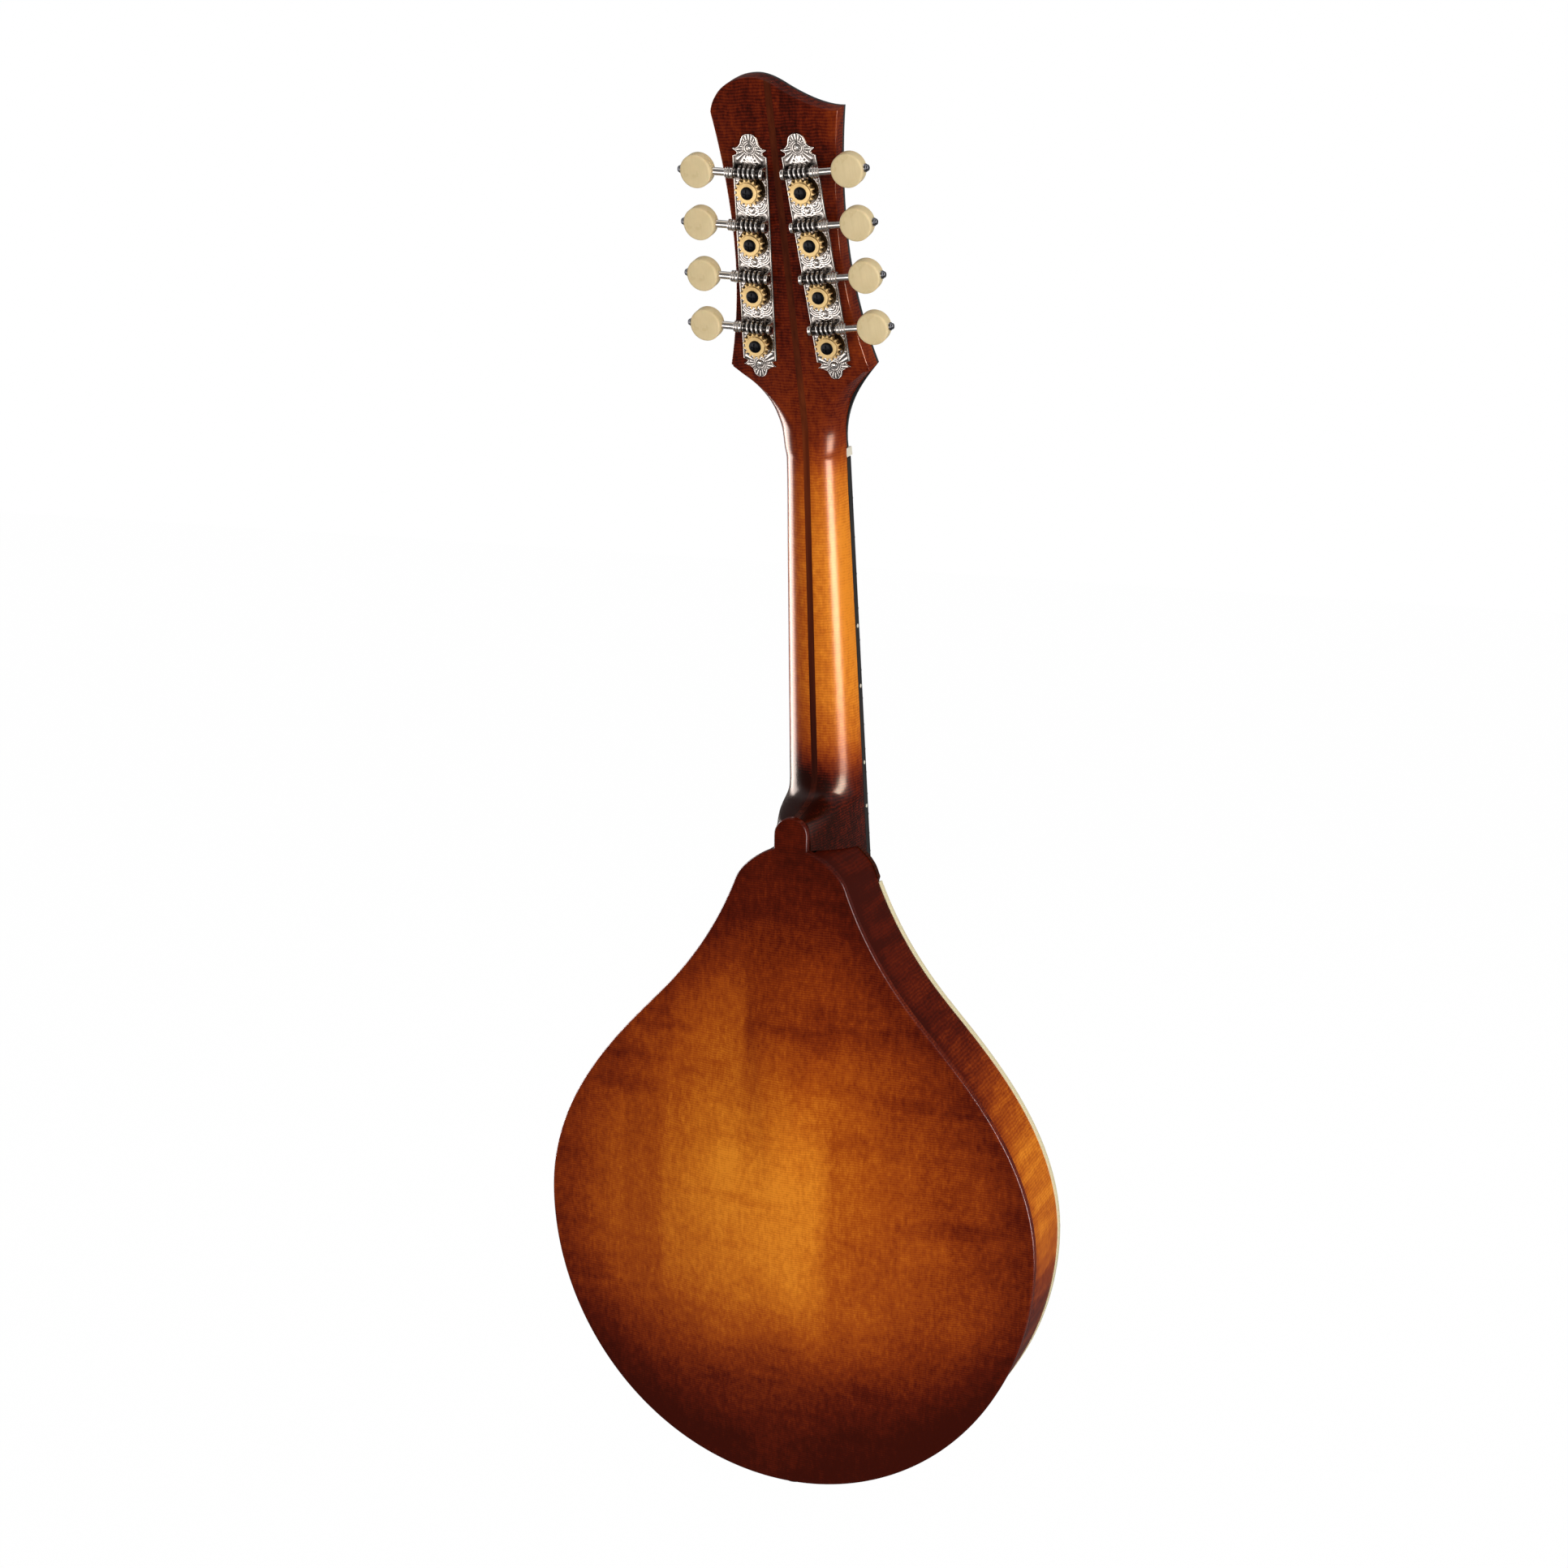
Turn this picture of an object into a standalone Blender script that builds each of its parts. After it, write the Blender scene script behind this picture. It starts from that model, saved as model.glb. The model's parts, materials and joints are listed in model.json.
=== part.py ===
"""A-style mandolin: carved arched body, glued neck and two four-gang worm-gear tuning machines.

The origin is the middle of the nut's playing edge, on the fingerboard's front plane. +Z runs up
the body towards the headstock, +Y is the back and +X the treble side. Units are metres.
"""

import math

import bmesh
import bpy
from mathutils import Matrix, Vector

# Clearances
SEAT_GAP = 0.0003
RUNNING_GAP = 0.0003
CUT_PROUD = 0.0010
CUT_REACH = 0.30

# Playing length and neck angle
SCALE_LENGTH = 0.3524
FRET_COUNT = 20
NUT_TO_BODY = 0.190
NECK_ANGLE = math.radians(7.66)
HEAD_ANGLE = math.radians(11.5)
BOARD_RISE = 0.0113
NECK_JOINT_HEIGHT = 0.1874

# Body outline: heights are above the lower bout's widest line
LOWER_HALF_WIDTH = 0.1266
TAIL_DROP = 0.1356
WIDEST_HEIGHT = 0.004
BOUT_HANDLE = 0.0543
FLANK = (0.0634, 0.1149)
FLANK_LEAN = 0.73
FLANK_HANDLE = 0.030
SHOULDER = (0.0279, 0.1729)
SHOULDER_LEAN = 0.36
SHOULDER_HANDLE = 0.0153
CROWN_RISE = 0.0071
CROWN_HANDLE = 0.0125

# Body depth and shells
BODY_DEPTH = 0.0458
PLATE_EDGE = 0.0040
PLATE_CROWN = 0.0034
EDGE_ROUND = 0.0010
TOP_ARCH = 0.0150
BACK_ARCH = 0.0140
ARCH_MARGIN = 0.93
ARCH_CENTRE = 0.010
RIB_THICKNESS = 0.0022
LINING_WIDTH = 0.0050
LINING_HEIGHT = 0.0070
BINDING_WIDTH = 0.0015
BINDING_HEIGHT = 0.0040
BINDING_TOP = 0.1715
BUTTON_HALF_WIDTH = 0.0083
BUTTON_RISE = 0.0211
BUTTON_ROOT = 0.0060
HEAD_BLOCK_LENGTH = 0.0374
TAIL_BLOCK_HALF_WIDTH = 0.0260
TAIL_BLOCK_DEPTH = 0.0180
TENON_HALF_WIDTH = 0.0095
TENON_LENGTH = 0.0160
TONE_BAR_X = 0.0230
TONE_BAR_SLANT = 0.0060
TONE_BAR_WIDTH = 0.0060
TONE_BAR_HEIGHT = 0.0090
TONE_BAR_ENDS = (-0.075, 0.090)

# Sound holes, from the body's centre
EYE_TOP = (0.0330, 0.0440)
EYE_TOP_RADIUS = 0.0036
EYE_FOOT = (0.0610, -0.0200)
EYE_FOOT_RADIUS = 0.0045
STEM_TOP = (0.0450, 0.0340)
STEM_FOOT = (0.0505, -0.0180)
STEM_WIDTH = 0.0054
STEM_TIP_WIDTH = 0.0022
STEM_CURL = 0.0150

# Neck and fingerboard
NUT_HALF_WIDTH = 0.0143
NECK_TAPER = 0.0264
BOARD_THICKNESS = 0.0052
NUT_DEPTH = 0.0200
NECK_DEPTH_GROWTH = 0.0130
HEEL_START = 0.140
HEEL_TIP = 0.164
HEEL_DEPTH = 0.0550
HEEL_FLAT = 0.0042
NECK_FLAT = 0.0016
NECK_SQUARENESS = 2.0
BOARD_MARGIN = 0.0036
TONGUE_DEPTH = 0.0048
TONGUE_LAP = 0.0120
TONGUE_STEP = 0.0060
TENON_LAP = 0.0030
TONGUE_HALF_WIDTH = 0.0145
FRET_WIDTH = 0.0011
FRET_HEIGHT = 0.0010
FRET_SEAT = 0.0006
NUT_LENGTH = 0.0040
NUT_HEIGHT = 0.0017
NUT_SLOPE = 0.0006
LAMINATION_WIDTH = 0.0031
LAMINATION_FLOOR = 0.0145

# Truss rod
ROD_RADIUS = 0.0023
ROD_AXIS = 0.0104
ROD_END = 0.165
ROD_TOP = 0.0120
ROD_NUT_LENGTH = 0.0080
ROD_NUT_RADIUS = 0.0036
ROD_POCKET_TOP = 0.0240
ROD_POCKET_ROOM = 0.0010
ROD_COVER_THICKNESS = 0.0016
ROD_COVER_FOOT = 0.0030
ROD_COVER_TIP = 0.0380
ROD_COVER_HALF = 0.0085

# Headstock, along its own tilted line from the nut
OVERLAY_THICKNESS = 0.0020
OVERLAY_START = 0.0018
FLARE_STEP = 0.0006
FLARE_HANDLE = 0.0215
FLARE_LEAN = (0.0070, 0.0082)
HEAD_BACK = 0.0166
HEAD_TAPER = math.radians(1.2)
HEAD_FOOT_HALF = 0.0285
HEAD_CORNER_TREBLE = (0.0330, 0.0492)
HEAD_CORNER_BASS = (-0.0340, 0.0478)
HEAD_FOOT = 0.0465
HEAD_WAIST_TREBLE = (0.0241, 0.1130)
HEAD_WAIST_BASS = (-0.0256, 0.1060)
HEAD_TOP_TREBLE = (0.0280, 0.1625)
HEAD_TOP_BASS = (-0.0306, 0.1624)
HEAD_CREST = (0.0080, 0.1768)
HEAD_SWEEP = (-0.0060, 0.1714)

# Tuning machines, along each plate from its lowest gear
GEAR_SPACING = 0.02306
LOWEST_GEAR = (0.0172, 0.0602)
PLATE_SPLAY = math.radians(4.02)
PLATE_HALF_WIDTH = 0.0080
PLATE_THICKNESS = 0.0010
PLATE_FOOT = -0.0078
PLATE_HEAD = 0.0145
FINIAL_FOOT = 0.0082
FINIAL_HEAD = 0.0097
CROWN_FOOT = 0.0033
CROWN_HEAD = 0.0040
WORM_HEIGHT = 0.00335
GEAR_TEETH = 16
THREAD_PITCH = 0.0022
WORM_RADIUS = 0.0031
WORM_ROOT = 0.0020
WORM_CENTRE = 0.0082
THREAD_TURNS = 4
TOOTH_SHARE = 0.42
TOOTH_FACE = 0.0021
MESH_GAP = 0.0001
GEAR_DISC_RADIUS = 0.0046
GEAR_DISC_HEIGHT = 0.0006
SCREW_HEAD_RADIUS = 0.0027
SCREW_HEAD_HEIGHT = 0.0006
POST_RADIUS = 0.0030
BOSS_RADIUS = 0.0036
POST_PROUD = 0.0135
EAR_INSET = 0.0061
EAR_WIDTH = 0.0015
EAR_HALF_HEIGHT = 0.0026
JOURNAL_RADIUS = 0.0013
SHAFT_RADIUS = 0.0017
COLLAR_RADIUS = 0.0026
COLLAR_LENGTH = 0.0020
BUTTON_CENTRE = 0.0232
BUTTON_RADIUS = 0.00725
BUTTON_THICKNESS = 0.0064
BUTTON_ROUND = 0.0010
NUB_LENGTH = 0.0018
NUB_RADIUS = 0.0018

# Bridge, heights above the carved top
BRIDGE_HALF_LENGTH = 0.0525
BRIDGE_THICKNESS = 0.0090
BRIDGE_BASE_HEIGHT = 0.0080
FOOT_INNER = 0.0180
FOOT_ARCH = 0.0040
SADDLE_HALF_LENGTH = 0.0460
SADDLE_THICKNESS = 0.0060
SADDLE_CREST = 0.0030
SADDLE_CROWN_HALF = 0.0240
STUD_X = 0.0320
STUD_RADIUS = 0.0016
STUD_TOP = 0.0165
WHEEL_RADIUS = 0.0065
WHEEL_THICKNESS = 0.0020
WHEEL_ROUND = 0.0004
SADDLE_TRAVEL = 0.0015
BRIDGE_COMPENSATION = 0.0020

# Tailpiece and end pin
TAIL_HALF_WIDTH = 0.0160
TAIL_SHEET = 0.0010
TAIL_REACH = 0.0440
TAIL_STAND = 0.0032
TAIL_WRAP = 0.0360
HOOK_SIZE = 0.0014
HOOK_HEIGHT = 0.0030
HOOK_REACH = 0.0300
COVER_HALF_WIDTH = 0.0185
COVER_WALL = 0.0008
COVER_HEIGHT = 0.0110
COVER_LENGTH = 0.0470
PIN_RADIUS = 0.0036
PIN_FLANGE_RADIUS = 0.0060
PIN_HEAD_RADIUS = 0.0062
PIN_LENGTH = 0.0105
PIN_REACH = 0.0150

# Strings, from the bass G pair to the treble E pair
STRING_RADII = (0.00050, 0.00050, 0.00033, 0.00033, 0.00020, 0.00020, 0.00015, 0.00015)
COURSE_SPACING_NUT = 0.0072
COURSE_SPACING_BRIDGE = 0.0126
PAIR_SPACING_NUT = 0.0022
PAIR_SPACING_BRIDGE = 0.0026
COURSE_SPACING_HOOKS = 0.0072
PAIR_SPACING_HOOKS = 0.0030
STRING_HEIGHT_NUT = 0.0013
STRING_HEIGHT_BRIDGE = 0.0042
STRING_CLEARANCE = 0.0003
WRAP_TURNS = 2.0
WRAP_STEP = 0.0013

BASS, TREBLE = -1, 1


def new_collection(name):
    collection = bpy.data.collections.new(name)
    bpy.context.scene.collection.children.link(collection)
    return collection


def clear_scene():
    for obj in list(bpy.data.objects):
        bpy.data.objects.remove(obj)


clear_scene()
PARTS = new_collection("a_style_mandolin")
CUTTERS = new_collection("cutters")


def finish(name, colour, roughness, metallic=0.0):
    """A Principled material for one kind of sub-part."""
    material = bpy.data.materials.new(name)
    material.use_nodes = True
    shader = material.node_tree.nodes["Principled BSDF"]
    shader.inputs["Base Color"].default_value = (*colour, 1.0)
    shader.inputs["Roughness"].default_value = roughness
    shader.inputs["Metallic"].default_value = metallic
    return material


MAPLE = finish("maple_sunburst", (0.36, 0.10, 0.02), 0.30)
NECK_WOOD = finish("neck_maple", (0.48, 0.17, 0.04), 0.32)
SPRUCE = finish("spruce_sunburst", (0.55, 0.26, 0.07), 0.32)
INNER_WOOD = finish("inner_wood", (0.62, 0.44, 0.26), 0.70)
DARK_WOOD = finish("dark_lamination", (0.06, 0.02, 0.01), 0.35)
EBONY = finish("ebony", (0.02, 0.018, 0.016), 0.40)
IVOROID = finish("ivoroid", (0.86, 0.80, 0.60), 0.35)
BONE = finish("bone", (0.88, 0.85, 0.75), 0.40)
NICKEL = finish("nickel", (0.78, 0.77, 0.74), 0.18, 1.0)
BRASS = finish("brass", (0.80, 0.62, 0.34), 0.28, 1.0)
STEEL = finish("steel", (0.60, 0.60, 0.60), 0.30, 1.0)


def frame(name, parent=None, location=(0, 0, 0), rotation=None):
    """An empty that carries the pieces modelled in its own axes."""
    empty = bpy.data.objects.new(name, None)
    PARTS.objects.link(empty)
    empty.parent = parent
    empty.matrix_basis = Matrix.Translation(location) @ (rotation or Matrix.Identity(4))
    return empty


def about(axis, angle):
    return Matrix.Rotation(angle, 4, axis)


def joint_on_board():
    """The point of the fingerboard's front plane above the body's shoulder."""
    return Vector((0, -math.sin(NECK_ANGLE), -math.cos(NECK_ANGLE))) * NUT_TO_BODY


BODY_ORIGIN = joint_on_board() + Vector((0, BOARD_RISE, -NECK_JOINT_HEIGHT))
BODY = frame("body_frame", location=BODY_ORIGIN)
NECK = frame("neck_frame", rotation=about("X", -NECK_ANGLE))
HEAD = frame("head_frame", NECK, rotation=about("X", -HEAD_ANGLE))
FACE = frame("face_frame", HEAD, rotation=about("X", -HEAD_TAPER))


def place_piece(name, mesh, parent, material, place=None, collection=PARTS):
    obj = bpy.data.objects.new(name, mesh)
    collection.objects.link(obj)
    obj.parent = parent
    obj.matrix_basis = place or Matrix.Identity(4)
    if material and not mesh.materials:
        mesh.materials.append(material)
    mesh.shade_smooth()
    mesh.set_sharp_from_angle(angle=math.radians(35))
    return obj


def tool(name, mesh, parent, place=None):
    """A cutter or a blank that is joined into another piece."""
    obj = place_piece(name, mesh, parent, None, place, CUTTERS)
    obj.hide_render = True
    obj.display_type = "WIRE"
    return obj


def boolean(piece, operand, operation="DIFFERENCE", solver="EXACT"):
    modifier = piece.modifiers.new(operand.name, "BOOLEAN")
    modifier.operation = operation
    modifier.solver = solver
    modifier.object = operand
    return piece


def evaluated_mesh(obj):
    bpy.context.view_layer.update()
    graph = bpy.context.evaluated_depsgraph_get()
    return bpy.data.meshes.new_from_object(obj.evaluated_get(graph))


def welded(mesh):
    work = bmesh.new()
    work.from_mesh(mesh)
    bmesh.ops.remove_doubles(work, verts=work.verts, dist=1e-7)
    bmesh.ops.recalc_face_normals(work, faces=work.faces)
    work.to_mesh(mesh)
    work.free()
    return mesh


def mesh_of(obj):
    """The evaluated mesh of a temporary object, which is then removed."""
    mesh = welded(evaluated_mesh(obj))
    bpy.data.objects.remove(obj)
    return mesh


def curve_object_mesh(curve):
    obj = bpy.data.objects.new("curve", curve)
    CUTTERS.objects.link(obj)
    return mesh_of(obj)


def prism(loops, near, far, axis="Y"):
    """A flat outline, with any holes, extruded between two heights along the axis."""
    curve = bpy.data.curves.new("outline", "CURVE")
    curve.dimensions = "2D"
    curve.fill_mode = "BOTH"
    curve.extrude = abs(far - near) / 2
    for loop in loops:
        spline = curve.splines.new("POLY")
        spline.points.add(len(loop) - 1)
        for point, (x, y) in zip(spline.points, loop):
            point.co = (x, y, 0, 1)
        spline.use_cyclic_u = True
    mesh = curve_object_mesh(curve)
    turn = about("X", math.pi / 2) if axis == "Y" else Matrix.Identity(4)
    middle = Vector([(near + far) / 2 if name == axis else 0 for name in "XYZ"])
    mesh.transform(Matrix.Translation(middle) @ turn)
    return mesh


def turned(profile, steps, axis="Z"):
    """A profile of (radius, height) from its top down the outer side, spun about the axis."""
    mesh = bpy.data.meshes.new("profile")
    points = [(radius, 0, height) for radius, height in profile]
    mesh.from_pydata(points, [(i, i + 1) for i in range(len(points) - 1)], [])
    obj = bpy.data.objects.new("profile", mesh)
    CUTTERS.objects.link(obj)
    screw = obj.modifiers.new("spin", "SCREW")
    screw.steps = steps
    screw.render_steps = steps
    screw.use_merge_vertices = True
    screw.merge_threshold = 0.00001
    spun = mesh_of(obj)
    turns = {"Z": Matrix.Identity(4), "X": about("Y", math.pi / 2), "Y": about("X", -math.pi / 2)}
    spun.transform(turns[axis])
    return spun


def pin(radius, low, high, steps=12, axis="Z"):
    return turned([(0, high), (radius, high), (radius, low), (0, low)], steps, axis)


def box(low, high):
    low, high = Vector(low), Vector(high)
    work = bmesh.new()
    bmesh.ops.create_cube(work, size=1)
    bmesh.ops.scale(work, vec=high - low, verts=work.verts)
    bmesh.ops.translate(work, vec=(low + high) / 2, verts=work.verts)
    mesh = bpy.data.meshes.new("box")
    work.to_mesh(mesh)
    work.free()
    return mesh


def loft(rings, start_tip=None, end_tip=None):
    """Closed rings of equal count joined in order, each end closed by a cap or drawn to a tip."""
    work = bmesh.new()
    made = [[work.verts.new(point) for point in ring] for ring in rings]
    for first, second in zip(made, made[1:]):
        for i in range(len(first)):
            j = (i + 1) % len(first)
            work.faces.new((first[i], first[j], second[j], second[i]))
    for ring, tip in ((made[0], start_tip), (made[-1], end_tip)):
        if tip is None:
            work.faces.new(ring)
            continue
        peak = work.verts.new(tip)
        for i in range(len(ring)):
            work.faces.new((ring[i], ring[(i + 1) % len(ring)], peak))
    bmesh.ops.recalc_face_normals(work, faces=work.faces)
    mesh = bpy.data.meshes.new("loft")
    work.to_mesh(mesh)
    work.free()
    return mesh


def merged(meshes):
    """Meshes that don't touch each other, held in one cutter."""
    work = bmesh.new()
    for mesh in meshes:
        work.from_mesh(mesh)
    joined = bpy.data.meshes.new("merged")
    work.to_mesh(joined)
    work.free()
    return joined


def bezier(start, first, second, end, count):
    """count points of a cubic curve, its end left out."""
    points = []
    for i in range(count):
        t = i / count
        s = 1 - t
        points.append(s**3 * start + 3 * s * s * t * first + 3 * s * t * t * second + t**3 * end)
    return points


def lean(angle):
    return Vector((-math.sin(angle), math.cos(angle)))


def half_outline():
    """The treble half of the body's rim, from the tail's centre line to the neck's."""
    widest = Vector((LOWER_HALF_WIDTH, WIDEST_HEIGHT))
    flank = Vector(FLANK) + Vector((0, WIDEST_HEIGHT))
    shoulder = Vector(SHOULDER) + Vector((0, WIDEST_HEIGHT))
    crown = Vector((0, NECK_JOINT_HEIGHT + CROWN_RISE))
    points = []
    for i in range(9):
        angle = math.pi / 2 * i / 9
        drop = Vector((LOWER_HALF_WIDTH * math.sin(angle), -TAIL_DROP * math.cos(angle)))
        points.append(Vector((0, WIDEST_HEIGHT)) + drop)
    bout_end = flank - lean(FLANK_LEAN) * FLANK_HANDLE
    points += bezier(widest, widest + Vector((0, BOUT_HANDLE)), bout_end, flank, 5)
    neck_start = shoulder - lean(SHOULDER_LEAN) * SHOULDER_HANDLE
    points += bezier(flank, flank + lean(FLANK_LEAN) * FLANK_HANDLE, neck_start, shoulder, 5)
    turn = shoulder + lean(SHOULDER_LEAN) * SHOULDER_HANDLE / 2
    points += bezier(shoulder, turn, crown + Vector((CROWN_HANDLE, 0)), crown, 4)
    return points + [crown]


def with_binding_end(points):
    """The outline with the binding's end and the plate's step beyond it, and the end's index."""
    placed, end = [], None
    for a, b in zip(points, points[1:]):
        placed.append(a)
        if a.y < BINDING_TOP <= b.y:
            end = len(placed)
            along = (b - a).normalized()
            stop = a.lerp(b, (BINDING_TOP - a.y) / (b.y - a.y))
            placed += [stop, stop + along * SEAT_GAP, stop + along * 1.5 * SEAT_GAP]
    return placed + [points[-1]], end


RIM, BINDING_END = with_binding_end(half_outline())


def inset_half(inset):
    """The half outline moved inwards, by a length or by a function of the point's index."""
    moved = []
    for i, point in enumerate(RIM):
        before = RIM[i - 1] if i else Vector((-RIM[1].x, RIM[1].y))
        after = RIM[i + 1] if i + 1 < len(RIM) else Vector((-RIM[-2].x, RIM[-2].y))
        along = (after - before).normalized()
        amount = inset(i) if callable(inset) else inset
        moved.append(point + Vector((-along.y, along.x)) * amount)
    return moved


def mirrored(point):
    return Vector((-point.x, point.y))


def closed_loop(half):
    return half + [mirrored(point) for point in reversed(half[1:-1])]


def clipped(points, inside):
    """The run of an open line where inside(point) is positive, cut at its crossings."""
    kept = []
    for a, b in zip(points, points[1:]):
        at_a, at_b = inside(a), inside(b)
        if at_a >= 0:
            kept.append(a)
        if at_a * at_b < 0:
            kept.append(a.lerp(b, at_a / (at_a - at_b)))
    if inside(points[-1]) >= 0:
        kept.append(points[-1])
    return kept


def strip(outer, inner, inside):
    """A band between two insets of the half outline, where inside(point) is positive."""
    return clipped(inset_half(outer), inside) + list(reversed(clipped(inset_half(inner), inside)))


def whole_strip(outer, inner, inside):
    """The same band carried round the tail to the bass side."""
    near = clipped(inset_half(outer), inside)
    far = clipped(inset_half(inner), inside)
    near = [mirrored(point) for point in reversed(near[1:])] + near
    far = [mirrored(point) for point in reversed(far[1:])] + far
    return near + list(reversed(far))


def flip(loop):
    return [mirrored(point) for point in loop]


# Carved plates
PLATE_STEPS = (ARCH_MARGIN, 0.84, 0.70, 0.52, 0.30, 0.0)


def carve(share, arch):
    """Height of the carved surface at a share of the way from the centre to the rim."""
    if share >= ARCH_MARGIN:
        return 0.0
    return arch * 0.5 * (1 + math.cos(math.pi * share / ARCH_MARGIN))


def carved_level(share, arch):
    """The same height on the flat facets between the plate's rings."""
    for outer, inner in zip(PLATE_STEPS, PLATE_STEPS[1:]):
        if inner <= share <= outer:
            blend = (share - inner) / (outer - inner)
            return carve(inner, arch) * (1 - blend) + carve(outer, arch) * blend
    return 0.0


def plate_thickness(share):
    return PLATE_CROWN + (PLATE_EDGE - PLATE_CROWN) * share


def scaled_ring(loop, share, height):
    centre = Vector((0, ARCH_CENTRE))
    ring = [centre + (point - centre) * share for point in loop]
    return [(point.x, height, point.y) for point in ring]


def carved_plate(loop, rounded_loop, face, inner, sign, arch):
    """A carved plate: face and inner are its flat rim planes, and sign the way it arches."""
    steps = PLATE_STEPS[:-1]
    rings = []
    for share in reversed(steps):
        height = face + sign * (carve(share, arch) - plate_thickness(share))
        rings.append(scaled_ring(loop, share, height))
    rings.append(scaled_ring(loop, 1, inner))
    rings.append(scaled_ring(loop, 1, face - sign * EDGE_ROUND))
    rings.append(scaled_ring(rounded_loop, 1, face))
    for share in steps:
        rings.append(scaled_ring(loop, share, face + sign * carve(share, arch)))
    crown = face + sign * arch
    inner_tip = (0, crown - sign * PLATE_CROWN, ARCH_CENTRE)
    return loft(rings, inner_tip, (0, crown, ARCH_CENTRE))


def top_inset(index):
    return BINDING_WIDTH + SEAT_GAP if index <= BINDING_END + 1 else 0


TOP_RIM = inset_half(top_inset)


def rim_share(x, z):
    """How far a point lies from the arch's centre towards the top's rim, as a share."""
    centre = Vector((0, ARCH_CENTRE))
    ray = Vector((abs(x), z)) - centre
    for a, b in zip(TOP_RIM, TOP_RIM[1:]):
        edge = b - a
        cross = ray.cross(edge)
        if abs(cross) < 1e-12:
            continue
        reach = (a - centre).cross(edge) / cross
        along = (a - centre).cross(ray) / cross
        if reach > 0 and -1e-6 <= along <= 1 + 1e-6:
            return 1 / reach
    return 0.0


def top_face(x, z):
    """The Y of the top's carved outer face."""
    return -carved_level(rim_share(x, z), TOP_ARCH)


def heel_button_loop():
    """The back plate's tongue over the heel."""
    tip = NECK_JOINT_HEIGHT + BUTTON_RISE - BUTTON_HALF_WIDTH
    loop = [Vector((BUTTON_HALF_WIDTH * 1.1, NECK_JOINT_HEIGHT - BUTTON_ROOT))]
    for i in range(9):
        angle = math.pi * i / 8
        loop.append(Vector((BUTTON_HALF_WIDTH * math.cos(angle), tip + BUTTON_HALF_WIDTH * math.sin(angle))))
    return loop + [mirrored(loop[0])]


def build_back():
    loop = closed_loop(inset_half(0))
    rounded = closed_loop(inset_half(EDGE_ROUND))
    inner = BODY_DEPTH - PLATE_EDGE
    mesh = carved_plate(loop, rounded, BODY_DEPTH, inner, 1, BACK_ARCH)
    plate = place_piece("back_plate", mesh, BODY, MAPLE)
    button = tool("heel_button", prism([heel_button_loop()], inner, BODY_DEPTH), BODY)
    boolean(plate, button, "UNION")


def sound_hole(side):
    """An f-shaped opening: two round eyes joined by a stem that curls into each."""
    top, foot = Vector(STEM_TOP), Vector(STEM_FOOT)
    eye_top, eye_foot = Vector(EYE_TOP), Vector(EYE_FOOT)
    rise = Vector((0, STEM_CURL))
    spine = bezier(eye_top, eye_top + rise, top + rise, top, 6)
    spine += bezier(top, top - rise, foot + rise, foot, 5)
    spine += bezier(foot, foot - rise, eye_foot - rise, eye_foot, 6) + [eye_foot]
    left, right = [], []
    for i, point in enumerate(spine):
        along = spine[min(i + 1, len(spine) - 1)] - spine[max(i - 1, 0)]
        across = Vector((-along.y, along.x)).normalized()
        share = i / (len(spine) - 1)
        width = STEM_TIP_WIDTH + (STEM_WIDTH - STEM_TIP_WIDTH) * math.sin(math.pi * share) ** 2
        left.append(point + across * width / 2)
        right.append(point - across * width / 2)
    ribbon = left + list(reversed(right))
    depth = (-TOP_ARCH - PLATE_EDGE, 2 * PLATE_EDGE)
    cutters = [prism([[Vector((side * point.x, point.y)) for point in ribbon]], *depth)]
    for centre, radius in ((eye_top, EYE_TOP_RADIUS), (eye_foot, EYE_FOOT_RADIUS)):
        eye = pin(radius, *depth, steps=14, axis="Y")
        eye.transform(Matrix.Translation((side * centre.x, 0, centre.y)))
        cutters.append(eye)
    return cutters


def build_top():
    loop = closed_loop(TOP_RIM)
    rounded = closed_loop(inset_half(lambda index: top_inset(index) + EDGE_ROUND / 2))
    mesh = carved_plate(loop, rounded, 0, PLATE_EDGE, -1, TOP_ARCH)
    plate = place_piece("top_plate", mesh, BODY, SPRUCE)
    for side, label in ((BASS, "bass"), (TREBLE, "treble")):
        for i, mesh in enumerate(sound_hole(side)):
            boolean(plate, tool(f"sound_hole_{label}_{i}", mesh, BODY))


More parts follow.
